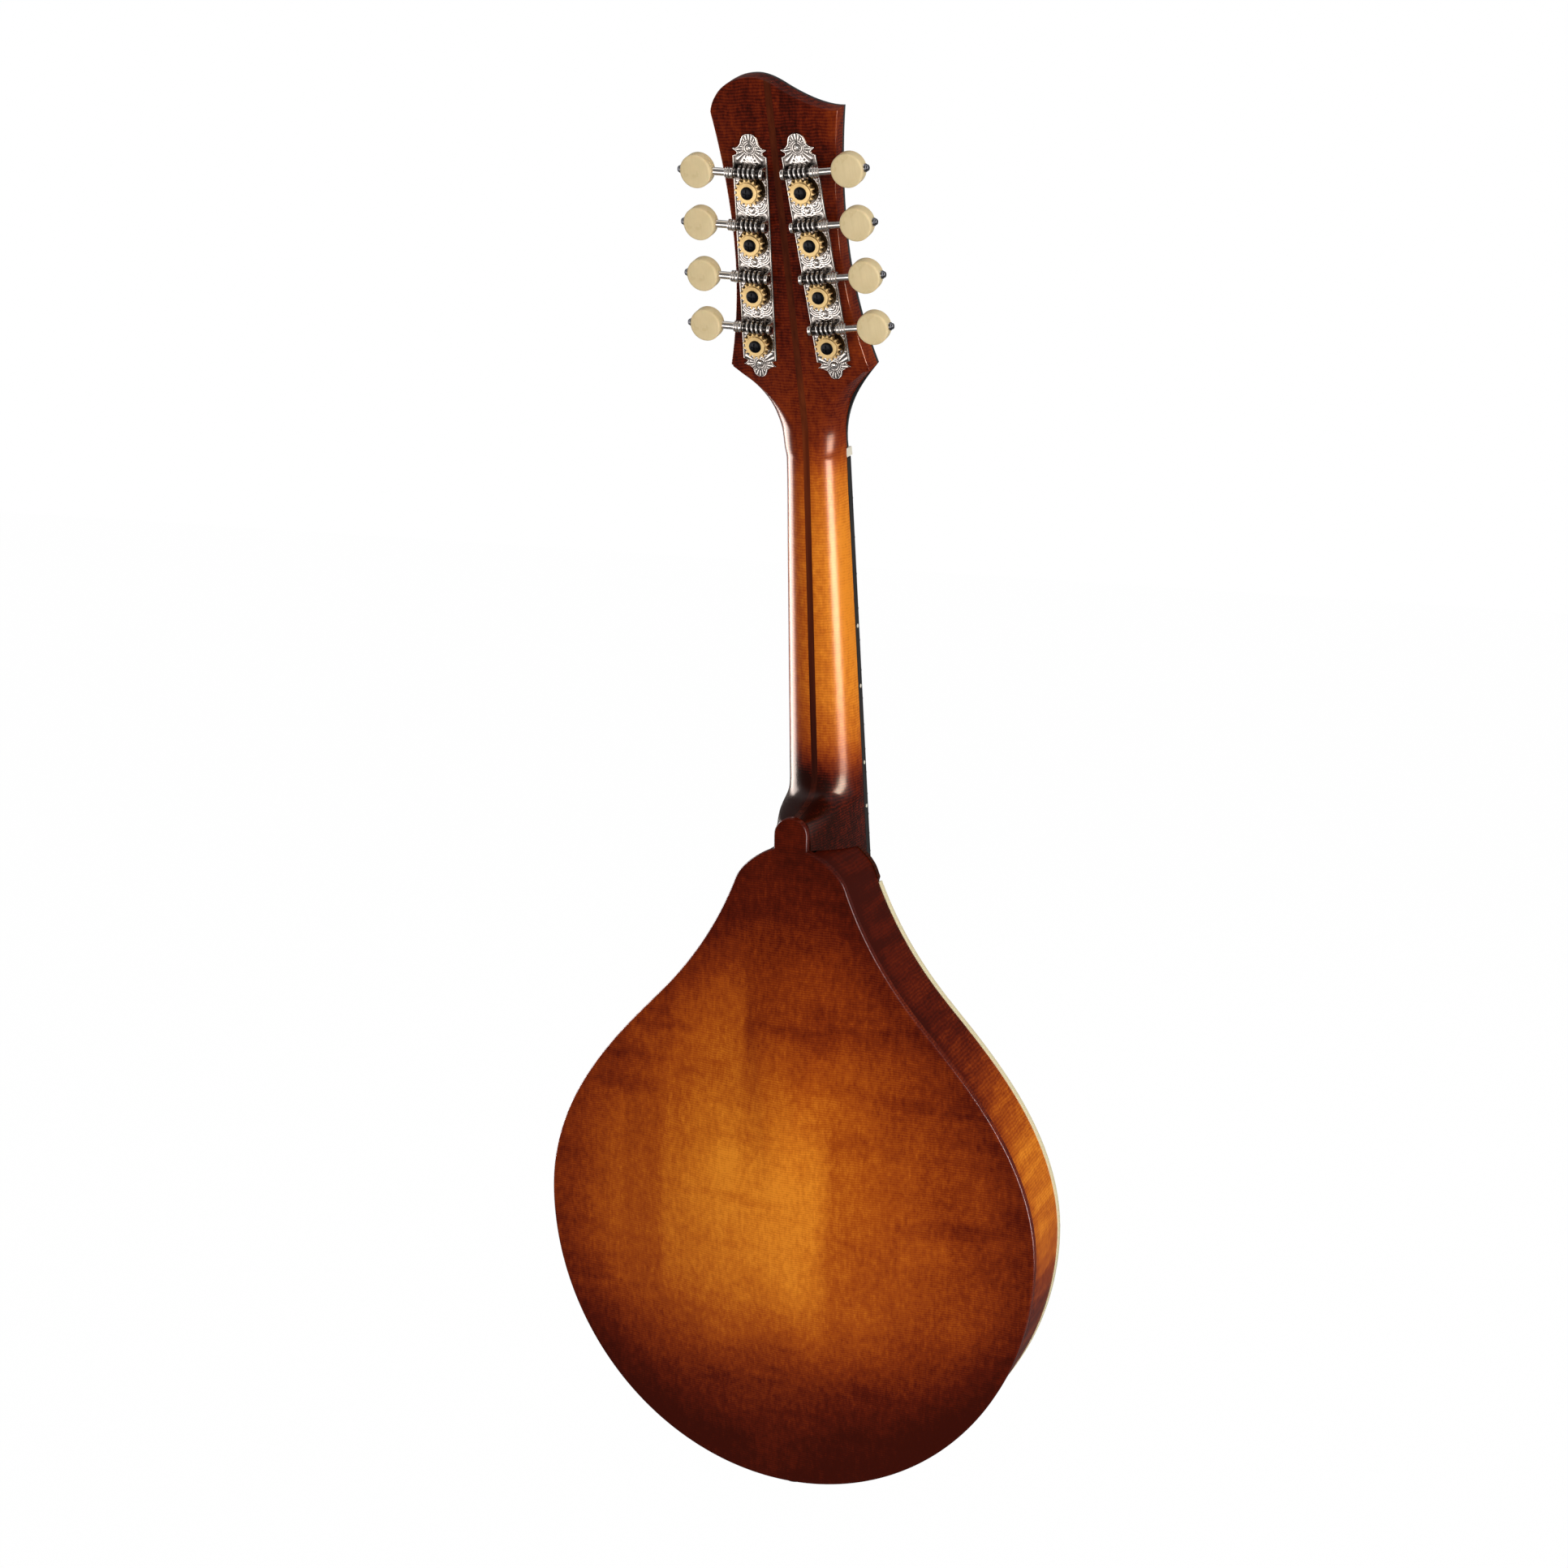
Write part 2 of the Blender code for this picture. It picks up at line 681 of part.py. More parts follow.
def build_sides():
    low = PLATE_EDGE + SEAT_GAP
    high = BODY_DEPTH - PLATE_EDGE - SEAT_GAP
    through = (-TAIL_DROP - TAIL_BLOCK_DEPTH, -TAIL_DROP + 2 * TAIL_BLOCK_DEPTH)
    pin_hole = pin(PIN_RADIUS + SEAT_GAP, *through, 16)
    pin_place = Matrix.Translation((0, BODY_DEPTH / 2, 0))
    hole = tool("end_pin_hole", pin_hole, BODY, pin_place)

    def rib_run(point):
        return point.x - (SEAT_GAP / 2 if point.y < 0 else TENON_HALF_WIDTH + SEAT_GAP)

    rib = strip(0, RIB_THICKNESS, rib_run)
    for side, label in ((BASS, "bass"), (TREBLE, "treble")):
        loop = rib if side == TREBLE else flip(rib)
        boolean(place_piece(f"rib_{label}", prism([loop], low, high), BODY, MAPLE), hole)

    block_foot = NECK_JOINT_HEIGHT - HEAD_BLOCK_LENGTH
    lining_outer = RIB_THICKNESS + SEAT_GAP
    lining_inner = lining_outer + LINING_WIDTH
    lining = whole_strip(lining_outer, lining_inner, lambda point: block_foot - SEAT_GAP - point.y)
    for label, start in (("top", low), ("back", high - LINING_HEIGHT)):
        place_piece(f"lining_{label}", prism([lining], start, start + LINING_HEIGHT), BODY, INNER_WOOD)

    outer, inner = (inset_half(inset)[: BINDING_END + 1] for inset in (0, BINDING_WIDTH))
    outer = flip(list(reversed(outer[1:]))) + outer
    binding = outer + list(reversed(flip(list(reversed(inner[1:]))) + inner))
    place_piece("top_binding", prism([binding], 0, BINDING_HEIGHT), BODY, IVOROID)

    head = clipped(inset_half(lining_outer), lambda point: point.y - block_foot)
    block = head + flip(list(reversed(head[:-1])))
    head_block = place_piece("head_block", prism([block], low, high), BODY, INNER_WOOD)
    crown = NECK_JOINT_HEIGHT + CROWN_RISE
    half = TENON_HALF_WIDTH + SEAT_GAP
    mortise_low = (-half, -CUT_PROUD, crown - TENON_LENGTH - SEAT_GAP)
    mortise = box(mortise_low, (half, BODY_DEPTH, crown + CUT_REACH))
    boolean(head_block, tool("mortise", mortise, BODY))

    def tail_run(point):
        return TAIL_BLOCK_HALF_WIDTH - point.x if point.y < 0 else -1

    rim = clipped(inset_half(lining_outer), tail_run)
    inner_z = WIDEST_HEIGHT - TAIL_DROP + RIB_THICKNESS + TAIL_BLOCK_DEPTH
    edge = [Vector((TAIL_BLOCK_HALF_WIDTH, inner_z)), Vector((-TAIL_BLOCK_HALF_WIDTH, inner_z))]
    tail = rim + edge + flip(list(reversed(rim[1:])))
    tail_block = place_piece("tail_block", prism([tail], low, high), BODY, INNER_WOOD)
    seat = whole_strip(0, lining_inner + SEAT_GAP, lambda point: -point.y)
    reach = LINING_HEIGHT + SEAT_GAP
    boolean(tail_block, tool("lining_seat_top", prism([seat], low - CUT_PROUD, low + reach), BODY))
    boolean(tail_block, tool("lining_seat_back", prism([seat], high - reach, high + CUT_PROUD), BODY))
    boolean(tail_block, hole)
    return hole


def build_tone_bars():
    low, high = TONE_BAR_ENDS
    for side, label in ((BASS, "bass"), (TREBLE, "treble")):
        rings = []
        for i in range(11):
            share = i / 10
            z = low + (high - low) * share
            x = side * (TONE_BAR_X + TONE_BAR_SLANT * (1 - 2 * share))
            seat = top_face(x, z) + plate_thickness(rim_share(x, z)) + 3 * SEAT_GAP
            depth = TONE_BAR_HEIGHT * (0.35 + 0.65 * math.sin(math.pi * share))
            half = TONE_BAR_WIDTH / 2
            narrow = half * 0.7
            ring = [(x - half, seat, z), (x + half, seat, z)]
            ring += [(x + narrow, seat + depth, z), (x - narrow, seat + depth, z)]
            rings.append(ring)
        place_piece(f"tone_bar_{label}", loft(rings), BODY, SPRUCE)


def neck_half_width(distance):
    return NUT_HALF_WIDTH + NECK_TAPER * distance


def fret_distance(number):
    return SCALE_LENGTH * (1 - 2 ** (-number / 12))


def board_length():
    """The fingerboard ends just past its last fret."""
    return fret_distance(FRET_COUNT) + BOARD_MARGIN


def rod_nut_corner():
    return ROD_NUT_RADIUS / math.cos(math.pi / 6)


def neck_ring(half, front, back, flat, sharpness, place):
    """A section from the fingerboard's plane round to a flat of the given half-width at the back."""
    power = 2 / sharpness
    side = []
    for i in range(7):
        angle = math.pi / 2 * i / 6
        across, deep = math.cos(angle), math.sin(angle)
        side.append((flat + (half - flat) * across**power, front + (back - front) * deep**power))
    side[-1] = (flat, back)
    ring = side + [(-x, y) for x, y in reversed(side)]
    return [place @ Vector((x, y, 0)) for x, y in ring]


GLUE_PLANE = BOARD_THICKNESS + SEAT_GAP


def glue_in_head():
    """The headstock's front wood plane before its taper, which meets the neck's at the nut."""
    return GLUE_PLANE * math.cos(HEAD_ANGLE)


def glue_in_face():
    """The tapered front plane of the headstock's wood, in its own frame."""
    return GLUE_PLANE * math.cos(HEAD_ANGLE + HEAD_TAPER)


# Distance beyond the heel's tip, share of its depth, share of its flat, squareness
HEEL_STATIONS = (
    (0.035, 1.13, 1.0, 1.45),
    (0.021, 1.10, 1.0, 1.45),
    (0.008, 1.05, 1.0, 1.45),
    (0.001, 0.97, 1.0, 1.45),
    (-0.001, 0.74, 0.90, 1.5),
    (-0.003, 0.56, 0.78, 1.6),
    (-0.0055, 0.47, 0.60, 1.75),
    (-0.009, 0.42, 0.45, 1.9),
    (-0.014, 0.402, 0.38, 2.0),
)
# Place along the headstock, half-width, flat's half-width, back, squareness
FLARE_STATIONS = (
    (0.008, 0.0149, 0.0024, 0.0190, 1.9),
    (0.016, 0.0155, 0.0040, 0.0173, 1.75),
    (0.024, 0.0173, 0.0074, 0.0166, 1.7),
    (0.030, 0.0194, 0.0112, 0.0166, 1.7),
    (0.036, 0.0231, 0.0164, 0.0166, 1.6),
    (0.041, 0.0273, 0.0220, 0.0166, 1.5),
    (0.045, 0.0310, 0.0276, 0.0166, 1.5),
    (0.0484, 0.0329, 0.0320, 0.0166, 1.5),
)


def neck_rings():
    rings = []
    for beyond, share, flat_share, sharpness in HEEL_STATIONS:
        distance = HEEL_TIP + beyond
        place = Matrix.Translation((0, 0, -distance))
        flat = HEEL_FLAT * flat_share
        half = neck_half_width(distance)
        rings.append(neck_ring(half, GLUE_PLANE, HEEL_DEPTH * share, flat, sharpness, place))
    for distance in (HEEL_START, 0.092, 0.046, 0.0):
        place = Matrix.Translation((0, 0, -distance))
        back = NUT_DEPTH + NECK_DEPTH_GROWTH * distance
        half = neck_half_width(distance)
        rings.append(neck_ring(half, GLUE_PLANE, back, NECK_FLAT, NECK_SQUARENESS, place))
    tilt = about("X", -HEAD_ANGLE)
    front = glue_in_head()
    for along, half, flat, back, sharpness in FLARE_STATIONS:
        place = tilt @ Matrix.Translation((0, 0, along))
        rings.append(neck_ring(half, front, back - 0.00002, flat, sharpness, place))
    return rings


def side_curve(corner, waist, count):
    """Points from a corner in to the waist, on an arc that levels off there."""
    points = []
    for i in range(count):
        share = 1 - i / count
        x = waist.x + (corner.x - waist.x) * share**2
        points.append(Vector((x, waist.y + (corner.y - waist.y) * share)))
    return points


def head_loop(foot):
    """The headstock's outline above the given foot, with its flowing top."""
    corner_treble, corner_bass = Vector(HEAD_CORNER_TREBLE), Vector(HEAD_CORNER_BASS)
    waist_treble, waist_bass = Vector(HEAD_WAIST_TREBLE), Vector(HEAD_WAIST_BASS)
    treble, bass = Vector(HEAD_TOP_TREBLE), Vector(HEAD_TOP_BASS)
    crest, sweep = Vector(HEAD_CREST), Vector(HEAD_SWEEP)
    up_treble = side_curve(corner_treble, waist_treble, 4) + [waist_treble]
    up_treble += list(reversed(side_curve(treble, waist_treble, 4)[1:]))
    top = bezier(treble, treble + Vector((-0.0012, 0.0070)), crest + Vector((0.0112, 0)), crest, 6)
    top += bezier(crest, crest - Vector((0.0052, 0)), sweep + Vector((0.0040, 0.0027)), sweep, 4)
    top += bezier(sweep, sweep - Vector((0.0055, 0.0034)), bass + Vector((0.009, 0)), bass, 5)
    down_bass = side_curve(bass, waist_bass, 4) + [waist_bass]
    down_bass += list(reversed(side_curve(corner_bass, waist_bass, 4)))
    return foot + up_treble + top + down_bass


def flare_foot(start):
    """The part of the headstock's outline that widens from the neck to the lower corners."""
    sides = []
    for corner, sign in ((Vector(HEAD_CORNER_TREBLE), 1), (Vector(HEAD_CORNER_BASS), -1)):
        narrow = Vector((sign * (neck_half_width(0) + FLARE_STEP), start))
        lean_in = corner - Vector((FLARE_LEAN[0] * sign, FLARE_LEAN[1]))
        sides.append(bezier(narrow, narrow + Vector((0, FLARE_HANDLE)), lean_in, corner, 7))
    return list(reversed(sides[1])) + sides[0]


def plate_frame(side):
    """A machine's frame: X across it, Y out of the headstock's back, Z up the gears."""
    x, along = LOWEST_GEAR
    seat = HEAD_BACK + SEAT_GAP
    label = "bass" if side == BASS else "treble"
    return frame(f"machine_frame_{label}", HEAD, (side * x, seat, along), about("Y", -side * PLATE_SPLAY))


MACHINES = {side: plate_frame(side) for side in (BASS, TREBLE)}


def post_holes(radius):
    """Cutters for the eight string posts through the headstock."""
    holes = []
    for side, machine in MACHINES.items():
        for i in range(4):
            hole = pin(radius, -HEAD_BACK * 2, PLATE_THICKNESS * 3, 12, "Y")
            place = Matrix.Translation((0, 0, i * GEAR_SPACING))
            holes.append(tool(f"post_hole_{side}_{i}", hole, machine, place))
    return holes


def build_neck():
    blank = tool("neck_blank", loft(neck_rings()), NECK)

    def shape(operand, operation="DIFFERENCE"):
        boolean(blank, operand, operation, "MANIFOLD")

    front = glue_in_head()
    lower = [Vector((-HEAD_FOOT_HALF, HEAD_FOOT)), Vector((HEAD_FOOT_HALF, HEAD_FOOT))]
    head = prism([head_loop(lower)], front, HEAD_BACK)
    shape(tool("head_blank", head, HEAD), "UNION")
    face = box((-CUT_REACH, -CUT_REACH, 2 * CUT_PROUD), (CUT_REACH, glue_in_face(), CUT_REACH))
    shape(tool("face_space", face, FACE))

    rim = closed_loop(inset_half(-SEAT_GAP))
    body_space = prism([rim], -SEAT_GAP, BODY_DEPTH + HEEL_DEPTH)
    shape(tool("body_space", body_space, BODY))
    cap_low = (-CUT_REACH, BODY_DEPTH - PLATE_EDGE - SEAT_GAP, 0)
    cap_high = (CUT_REACH, BODY_DEPTH + HEEL_DEPTH, NECK_JOINT_HEIGHT + NUT_TO_BODY / 2)
    cap = box(cap_low, cap_high)
    shape(tool("heel_cap_space", cap, BODY))

    top = NUT_TO_BODY - TONGUE_LAP
    tongue_low = (-TONGUE_HALF_WIDTH, GLUE_PLANE, TONGUE_STEP - board_length())
    tongue = box(tongue_low, (TONGUE_HALF_WIDTH, GLUE_PLANE + TONGUE_DEPTH, -top))
    shape(tool("tongue", tongue, NECK), "UNION")
    crown = NECK_JOINT_HEIGHT + CROWN_RISE
    low = PLATE_EDGE + 2 * SEAT_GAP
    high = BODY_DEPTH - PLATE_EDGE - 2 * SEAT_GAP
    tenon = box((-TENON_HALF_WIDTH, low, crown - TENON_LENGTH), (TENON_HALF_WIDTH, high, crown + TENON_LAP))
    shape(tool("tenon", tenon, BODY), "UNION")

    half = ROD_RADIUS + SEAT_GAP
    channel_low = (-half, GLUE_PLANE - 2 * CUT_PROUD, -ROD_END - SEAT_GAP)
    channel = box(channel_low, (half, ROD_AXIS + half, 2 * CUT_PROUD))
    shape(tool("rod_channel", channel, NECK))
    half = rod_nut_corner() + ROD_POCKET_ROOM
    floor = ROD_AXIS + rod_nut_corner() + SEAT_GAP
    pocket = box((-half, -2 * CUT_PROUD, -CUT_PROUD), (half, floor, ROD_POCKET_TOP))
    rod_pocket = tool("rod_pocket", pocket, NECK)
    shape(rod_pocket)
    holes = post_holes(POST_RADIUS + RUNNING_GAP * 2)
    for hole in holes:
        shape(hole)

    solid = evaluated_mesh(blank)
    grooves = []
    lap = 4 * CUT_PROUD
    for label, parent, low_z, high_z in (("neck", NECK, -CUT_REACH, lap), ("head", HEAD, 0, CUT_REACH)):
        for width, kind in ((LAMINATION_WIDTH, "groove"), (LAMINATION_WIDTH - 2 * SEAT_GAP, "fill")):
            floor = LAMINATION_FLOOR + (0 if kind == "groove" else SEAT_GAP)
            slab = box((-width / 2, floor, low_z), (width / 2, CUT_REACH, high_z))
            grooves.append((kind, tool(f"lamination_{kind}_{label}", slab, parent)))
    neck = place_piece("neck", solid, NECK, NECK_WOOD)
    lamination = place_piece("neck_lamination", solid.copy(), NECK, DARK_WOOD)
    lamination.data.materials.clear()
    lamination.data.materials.append(DARK_WOOD)
    for kind, groove in grooves:
        if kind == "groove":
            boolean(neck, groove, solver="MANIFOLD")
    fills = [groove for kind, groove in grooves if kind == "fill"]
    boolean(fills[0], fills[1], "UNION")
    boolean(lamination, fills[0], "INTERSECT", "MANIFOLD")
    return rod_pocket, holes


def build_fingerboard():
    length = board_length()
    near, far = neck_half_width(0), neck_half_width(length)
    loop = [Vector((-near, 0)), Vector((-far, -length))]
    loop += [mirrored(point) for point in reversed(loop)]
    board = place_piece("fingerboard", prism([loop], 0, BOARD_THICKNESS), NECK, EBONY)
    frets = []
    for number in range(1, FRET_COUNT + 1):
        distance = fret_distance(number)
        half = neck_half_width(distance) - 0.0004
        base, crest = FRET_WIDTH / 2, FRET_WIDTH / 4
        profile = [Vector((FRET_SEAT, base)), Vector((0, base)), Vector((-FRET_HEIGHT, crest))]
        profile += [Vector((point.x, -point.y)) for point in reversed(profile)]
        rings = [[(x, point.x, point.y - distance) for point in profile] for x in (-half, half)]
        frets.append(loft(rings))
    boolean(board, tool("frets", merged(frets), NECK), "UNION")


def string_x(index, course_spacing, pair_spacing):
    course, second = divmod(index, 2)
    return (course - 1.5) * course_spacing + (second - 0.5) * pair_spacing


def build_nut():
    half = neck_half_width(0)
    low, high = SEAT_GAP, SEAT_GAP + NUT_LENGTH
    slope = math.tan(HEAD_ANGLE)
    side = [Vector((-NUT_HEIGHT, low)), Vector((-NUT_HEIGHT + NUT_SLOPE, high))]
    side += [Vector((BOARD_THICKNESS + slope * high, high)), Vector((BOARD_THICKNESS + slope * low, low))]
    rings = [[(x, point.x, point.y) for point in side] for x in (-half, half)]
    nut = place_piece("nut", loft(rings), NECK, BONE)
    slots = []
    for index, radius in enumerate(STRING_RADII):
        x = string_x(index, COURSE_SPACING_NUT, PAIR_SPACING_NUT)
        half_slot = radius + STRING_CLEARANCE
        floor = -STRING_HEIGHT_NUT + radius + STRING_CLEARANCE
        slot_low = (x - half_slot, -CUT_REACH, -CUT_PROUD)
        slots.append(box(slot_low, (x + half_slot, floor, high + CUT_PROUD)))
    boolean(nut, tool("string_slots", merged(slots), NECK))
    return high


def build_head_front(rod_pocket, holes, nut_end):
    back = glue_in_face() - SEAT_GAP
    front = back - OVERLAY_THICKNESS
    foot = flare_foot(nut_end + OVERLAY_START)
    overlay = prism([head_loop(foot)], front, back)
    overlay_piece = place_piece("headstock_overlay", overlay, FACE, EBONY)
    boolean(overlay_piece, rod_pocket)
    for hole in holes:
        boolean(overlay_piece, hole)
    base, tip = nut_end + ROD_COVER_FOOT, ROD_COVER_TIP
    lower, upper = Vector((ROD_COVER_HALF, base)), Vector((0, tip))
    side = bezier(lower, lower + Vector((0.001, 0.012)), upper + Vector((0.0060, -0.006)), upper, 7)
    loop = side + [Vector((0, tip))] + [mirrored(point) for point in reversed(side)]
    cover = prism([loop], front - SEAT_GAP - ROD_COVER_THICKNESS, front - SEAT_GAP)
    place_piece("truss_rod_cover", cover, FACE, EBONY)


def circle(radius, count):
    angles = [2 * math.pi * i / count for i in range(count)]
    return [Vector((radius * math.cos(angle), radius * math.sin(angle))) for angle in angles]


def build_truss_rod():
    axis = Matrix.Translation((0, ROD_AXIS, 0))
    place_piece("truss_rod", pin(ROD_RADIUS, -ROD_END, ROD_TOP, 10), NECK, STEEL, axis)
    start = ROD_TOP - ROD_NUT_LENGTH + 0.003
    nut = prism([circle(rod_nut_corner(), 6), circle(ROD_RADIUS + RUNNING_GAP, 12)], 0, ROD_NUT_LENGTH, "Z")
    place_piece("truss_rod_nut", nut, NECK, BRASS, Matrix.Translation((0, ROD_AXIS, start)))


# Tuning machines
PLATE_TOP = PLATE_THICKNESS
WORM_AXIS = PLATE_TOP + WORM_HEIGHT


def finial(direction, end, reach, crown_width):
    """A plate's ornamental end: square corners, a waist, two side spikes and a round crown."""
    wide = PLATE_HALF_WIDTH
    shape = [(wide, 0), (wide * 0.77, 0.09), (wide * 0.76, 0.19), (wide * 0.98, 0.32)]
    shape += [(wide * 0.66, 0.38), (crown_width * 1.07, 0.55), (crown_width * 0.92, 0.78)]
    shape += [(crown_width * 0.60, 0.94)]
    right = [Vector((x, end + direction * reach * share)) for x, share in shape]
    return right + [Vector((0, end + direction * reach))]


def plate_loop():
    length = 3 * GEAR_SPACING
    top = finial(1, length + PLATE_HEAD, FINIAL_HEAD, CROWN_HEAD)
    foot = finial(-1, PLATE_FOOT, FINIAL_FOOT, CROWN_FOOT)
    right = list(reversed(foot[1:-1])) + [foot[0]] + top
    right = [foot[-1]] + right
    return right + [mirrored(point) for point in reversed(right[1:-1])]


def ear_profile():
    """A bearing ear seen along the shaft, in height and place along the plate."""
    half = EAR_HALF_HEIGHT
    loop = [Vector((PLATE_TOP - 0.0005, -half)), Vector((PLATE_TOP - 0.0005, half))]
    for i in range(5):
        angle = math.pi / 2 * (1 - i / 2)
        loop.append(Vector((WORM_AXIS + half * math.cos(angle), half * math.sin(angle))))
    return loop


def build_plates():
    mesh = prism([plate_loop()], 0, PLATE_THICKNESS)
    ears, bores, holes = [], [], []
    for i in range(4):
        gear_z = i * GEAR_SPACING
        shaft_z = gear_z + WORM_CENTRE
        for side in (-1, 1):
            inner, outer = side * EAR_INSET, side * (EAR_INSET + EAR_WIDTH)
            rings = [[(x, p.x, p.y + shaft_z) for p in ear_profile()] for x in (inner, outer)]
            ears.append(loft(rings))
        bore = pin(SHAFT_RADIUS + RUNNING_GAP, -PLATE_HALF_WIDTH * 1.5, PLATE_HALF_WIDTH * 1.5, 8, "X")
        bore.transform(Matrix.Translation((0, WORM_AXIS, shaft_z)))
        bores.append(bore)
        hole = pin(POST_RADIUS + RUNNING_GAP, -0.002, 0.004, 12, "Y")
        hole.transform(Matrix.Translation((0, 0, gear_z)))
        holes.append(hole)
    blank = place_piece("plate_blank", mesh, None, NICKEL)
    helpers = []
    for name, meshes, operation in (
        ("ears", ears, "UNION"),
        ("bores", bores, "DIFFERENCE"),
        ("holes", holes, "DIFFERENCE"),
    ):
        helpers.append(tool(name, merged(meshes), None))
        boolean(blank, helpers[-1], operation)
    solid = mesh_of(blank)
    for helper in helpers:
        bpy.data.objects.remove(helper)
    for side, label in ((BASS, "bass"), (TREBLE, "treble")):
        place_piece(f"tuner_plate_{label}", solid, MACHINES[side], NICKEL)


def worm_mesh():
    """The shaft with its thread, collar and end nub, along X with the thread's middle at 0."""
    inner = -EAR_INSET + RUNNING_GAP
    outer = EAR_INSET - RUNNING_GAP
    collar = EAR_INSET + EAR_WIDTH + RUNNING_GAP
    far = collar + COLLAR_LENGTH
    end = BUTTON_CENTRE + BUTTON_RADIUS + SEAT_GAP
    tip = end + NUB_LENGTH
    profile = [(0, tip), (NUB_RADIUS * 0.6, tip), (NUB_RADIUS, end + NUB_LENGTH * 0.6)]
    profile += [(NUB_RADIUS, end), (SHAFT_RADIUS, end), (SHAFT_RADIUS, far), (COLLAR_RADIUS, far)]
    profile += [(COLLAR_RADIUS, collar), (SHAFT_RADIUS, collar), (SHAFT_RADIUS, outer)]
    profile += [(WORM_ROOT, outer), (WORM_ROOT, inner), (JOURNAL_RADIUS, inner)]
    profile += [(JOURNAL_RADIUS, -collar), (0, -collar)]
    core = place_piece("worm_core", turned(profile, 8, "X"), None, NICKEL)
    steps = 8
    ramp = 0.25
    half_root = THREAD_PITCH * TOOTH_SHARE * 0.72
    half_tip = THREAD_PITCH * TOOTH_SHARE * 0.30
    rings = []
    for i in range(THREAD_TURNS * steps + 1):
        turns = i / steps - THREAD_TURNS / 2
        along = turns * THREAD_PITCH
        grown = min(1, (i / steps + 0.08) / ramp, (THREAD_TURNS - i / steps + 0.08) / ramp)
        crest = WORM_ROOT + (WORM_RADIUS - WORM_ROOT) * grown
        angle = 2 * math.pi * turns
        outward = Vector((0, math.sin(angle), -math.cos(angle)))
        base = WORM_ROOT * 0.93
        section = ((-half_root, base), (-half_tip, crest), (half_tip, crest), (half_root, base))
        rings.append([Vector((along + offset, 0, 0)) + outward * radius for offset, radius in section])
    thread = tool("thread", loft(rings), None)
    boolean(core, thread, "UNION")
    mesh = mesh_of(core)
    bpy.data.objects.remove(thread)
    return mesh


def gear_ring(height, twist):
    """The toothed outline at one height, turned so that a gap faces the worm."""
    tip = WORM_CENTRE - WORM_ROOT - MESH_GAP
    root = WORM_CENTRE - WORM_RADIUS - MESH_GAP
    tooth = 2 * math.pi / GEAR_TEETH
    root_half = tooth * TOOTH_SHARE * 0.62
    tip_half = tooth * TOOTH_SHARE * 0.30
    ring = []
    for i in range(GEAR_TEETH):
        middle = tooth * (i + 0.5) + twist
        for offset, radius in ((-root_half, root), (-tip_half, tip), (tip_half, tip), (root_half, root)):
            angle = middle + offset
            ring.append((radius * math.sin(angle), height, radius * math.cos(angle)))
    return ring


def gear_mesh():
    """One toothed gear with its disc, screw head and string post, about Y."""
    pitch_radius = GEAR_TEETH * THREAD_PITCH / (2 * math.pi)
    slope = THREAD_PITCH / (2 * math.pi * (WORM_CENTRE - pitch_radius))
    low, high = WORM_AXIS - TOOTH_FACE / 2, WORM_AXIS + TOOTH_FACE / 2
    twist = slope * TOOTH_FACE / 2 / pitch_radius
    toothed = place_piece("toothed", loft([gear_ring(low, -twist), gear_ring(high, twist)]), None, BRASS)
    disc_top = high + GEAR_DISC_HEIGHT
    screw_top = disc_top + SCREW_HEAD_HEIGHT
    boss = PLATE_TOP + RUNNING_GAP
    front = glue_in_head() - SEAT_GAP - OVERLAY_THICKNESS - POST_PROUD - HEAD_BACK - SEAT_GAP
    profile = [(0, screw_top), (SCREW_HEAD_RADIUS * 0.8, screw_top), (SCREW_HEAD_RADIUS, disc_top)]
    profile += [(GEAR_DISC_RADIUS * 0.92, disc_top), (GEAR_DISC_RADIUS, high - 0.0003)]
    profile += [(BOSS_RADIUS, low), (BOSS_RADIUS, boss), (POST_RADIUS, boss)]
    profile += [(POST_RADIUS, front), (0, front)]
    post = tool("post", turned(profile, 12, "Y"), None)
    boolean(toothed, post, "UNION")
    mesh = mesh_of(toothed)
    bpy.data.objects.remove(post)
    return mesh


def button_mesh():
    """A round button whose flat faces look along Y, bored for the shaft along X."""
    half = BUTTON_THICKNESS / 2
    flat = BUTTON_RADIUS - BUTTON_ROUND
    edge = half - BUTTON_ROUND
    profile = [(0, half), (flat, half), (BUTTON_RADIUS, edge), (BUTTON_RADIUS, -edge)]
    profile += [(flat, -half), (0, -half)]
    blank = place_piece("button_blank", turned(profile, 16, "Y"), None, IVOROID)
    bore = tool("bore", pin(SHAFT_RADIUS + SEAT_GAP, -0.02, 0.02, 8, "X"), None)
    boolean(blank, bore)
    mesh = mesh_of(blank)
    bpy.data.objects.remove(bore)
    return mesh


STRING_NAMES = ("g1", "g2", "d1", "d2", "a1", "a2", "e1", "e2")


def machine_of(index):
    """The side and the gear that a string winds on: the outer strings take the lowest gears."""
    if index < 4:
        return BASS, index
    return TREBLE, 7 - index


def build_tuners():
    build_plates()
    worm, gear, button = worm_mesh(), gear_mesh(), button_mesh()
    for index, label in enumerate(STRING_NAMES):
        side, row = machine_of(index)
        gear_z = row * GEAR_SPACING
        outward = about("Z", 0 if side == TREBLE else math.pi)
        shaft = Matrix.Translation((0, WORM_AXIS, gear_z + WORM_CENTRE)) @ outward
        place_piece(f"worm_{label}", worm, MACHINES[side], NICKEL, shaft)
        on_shaft = shaft @ Matrix.Translation((BUTTON_CENTRE, 0, 0))
        place_piece(f"button_{label}", button, MACHINES[side], IVOROID, on_shaft)
        place_piece(f"gear_{label}", gear, MACHINES[side], BRASS, Matrix.Translation((0, 0, gear_z)))


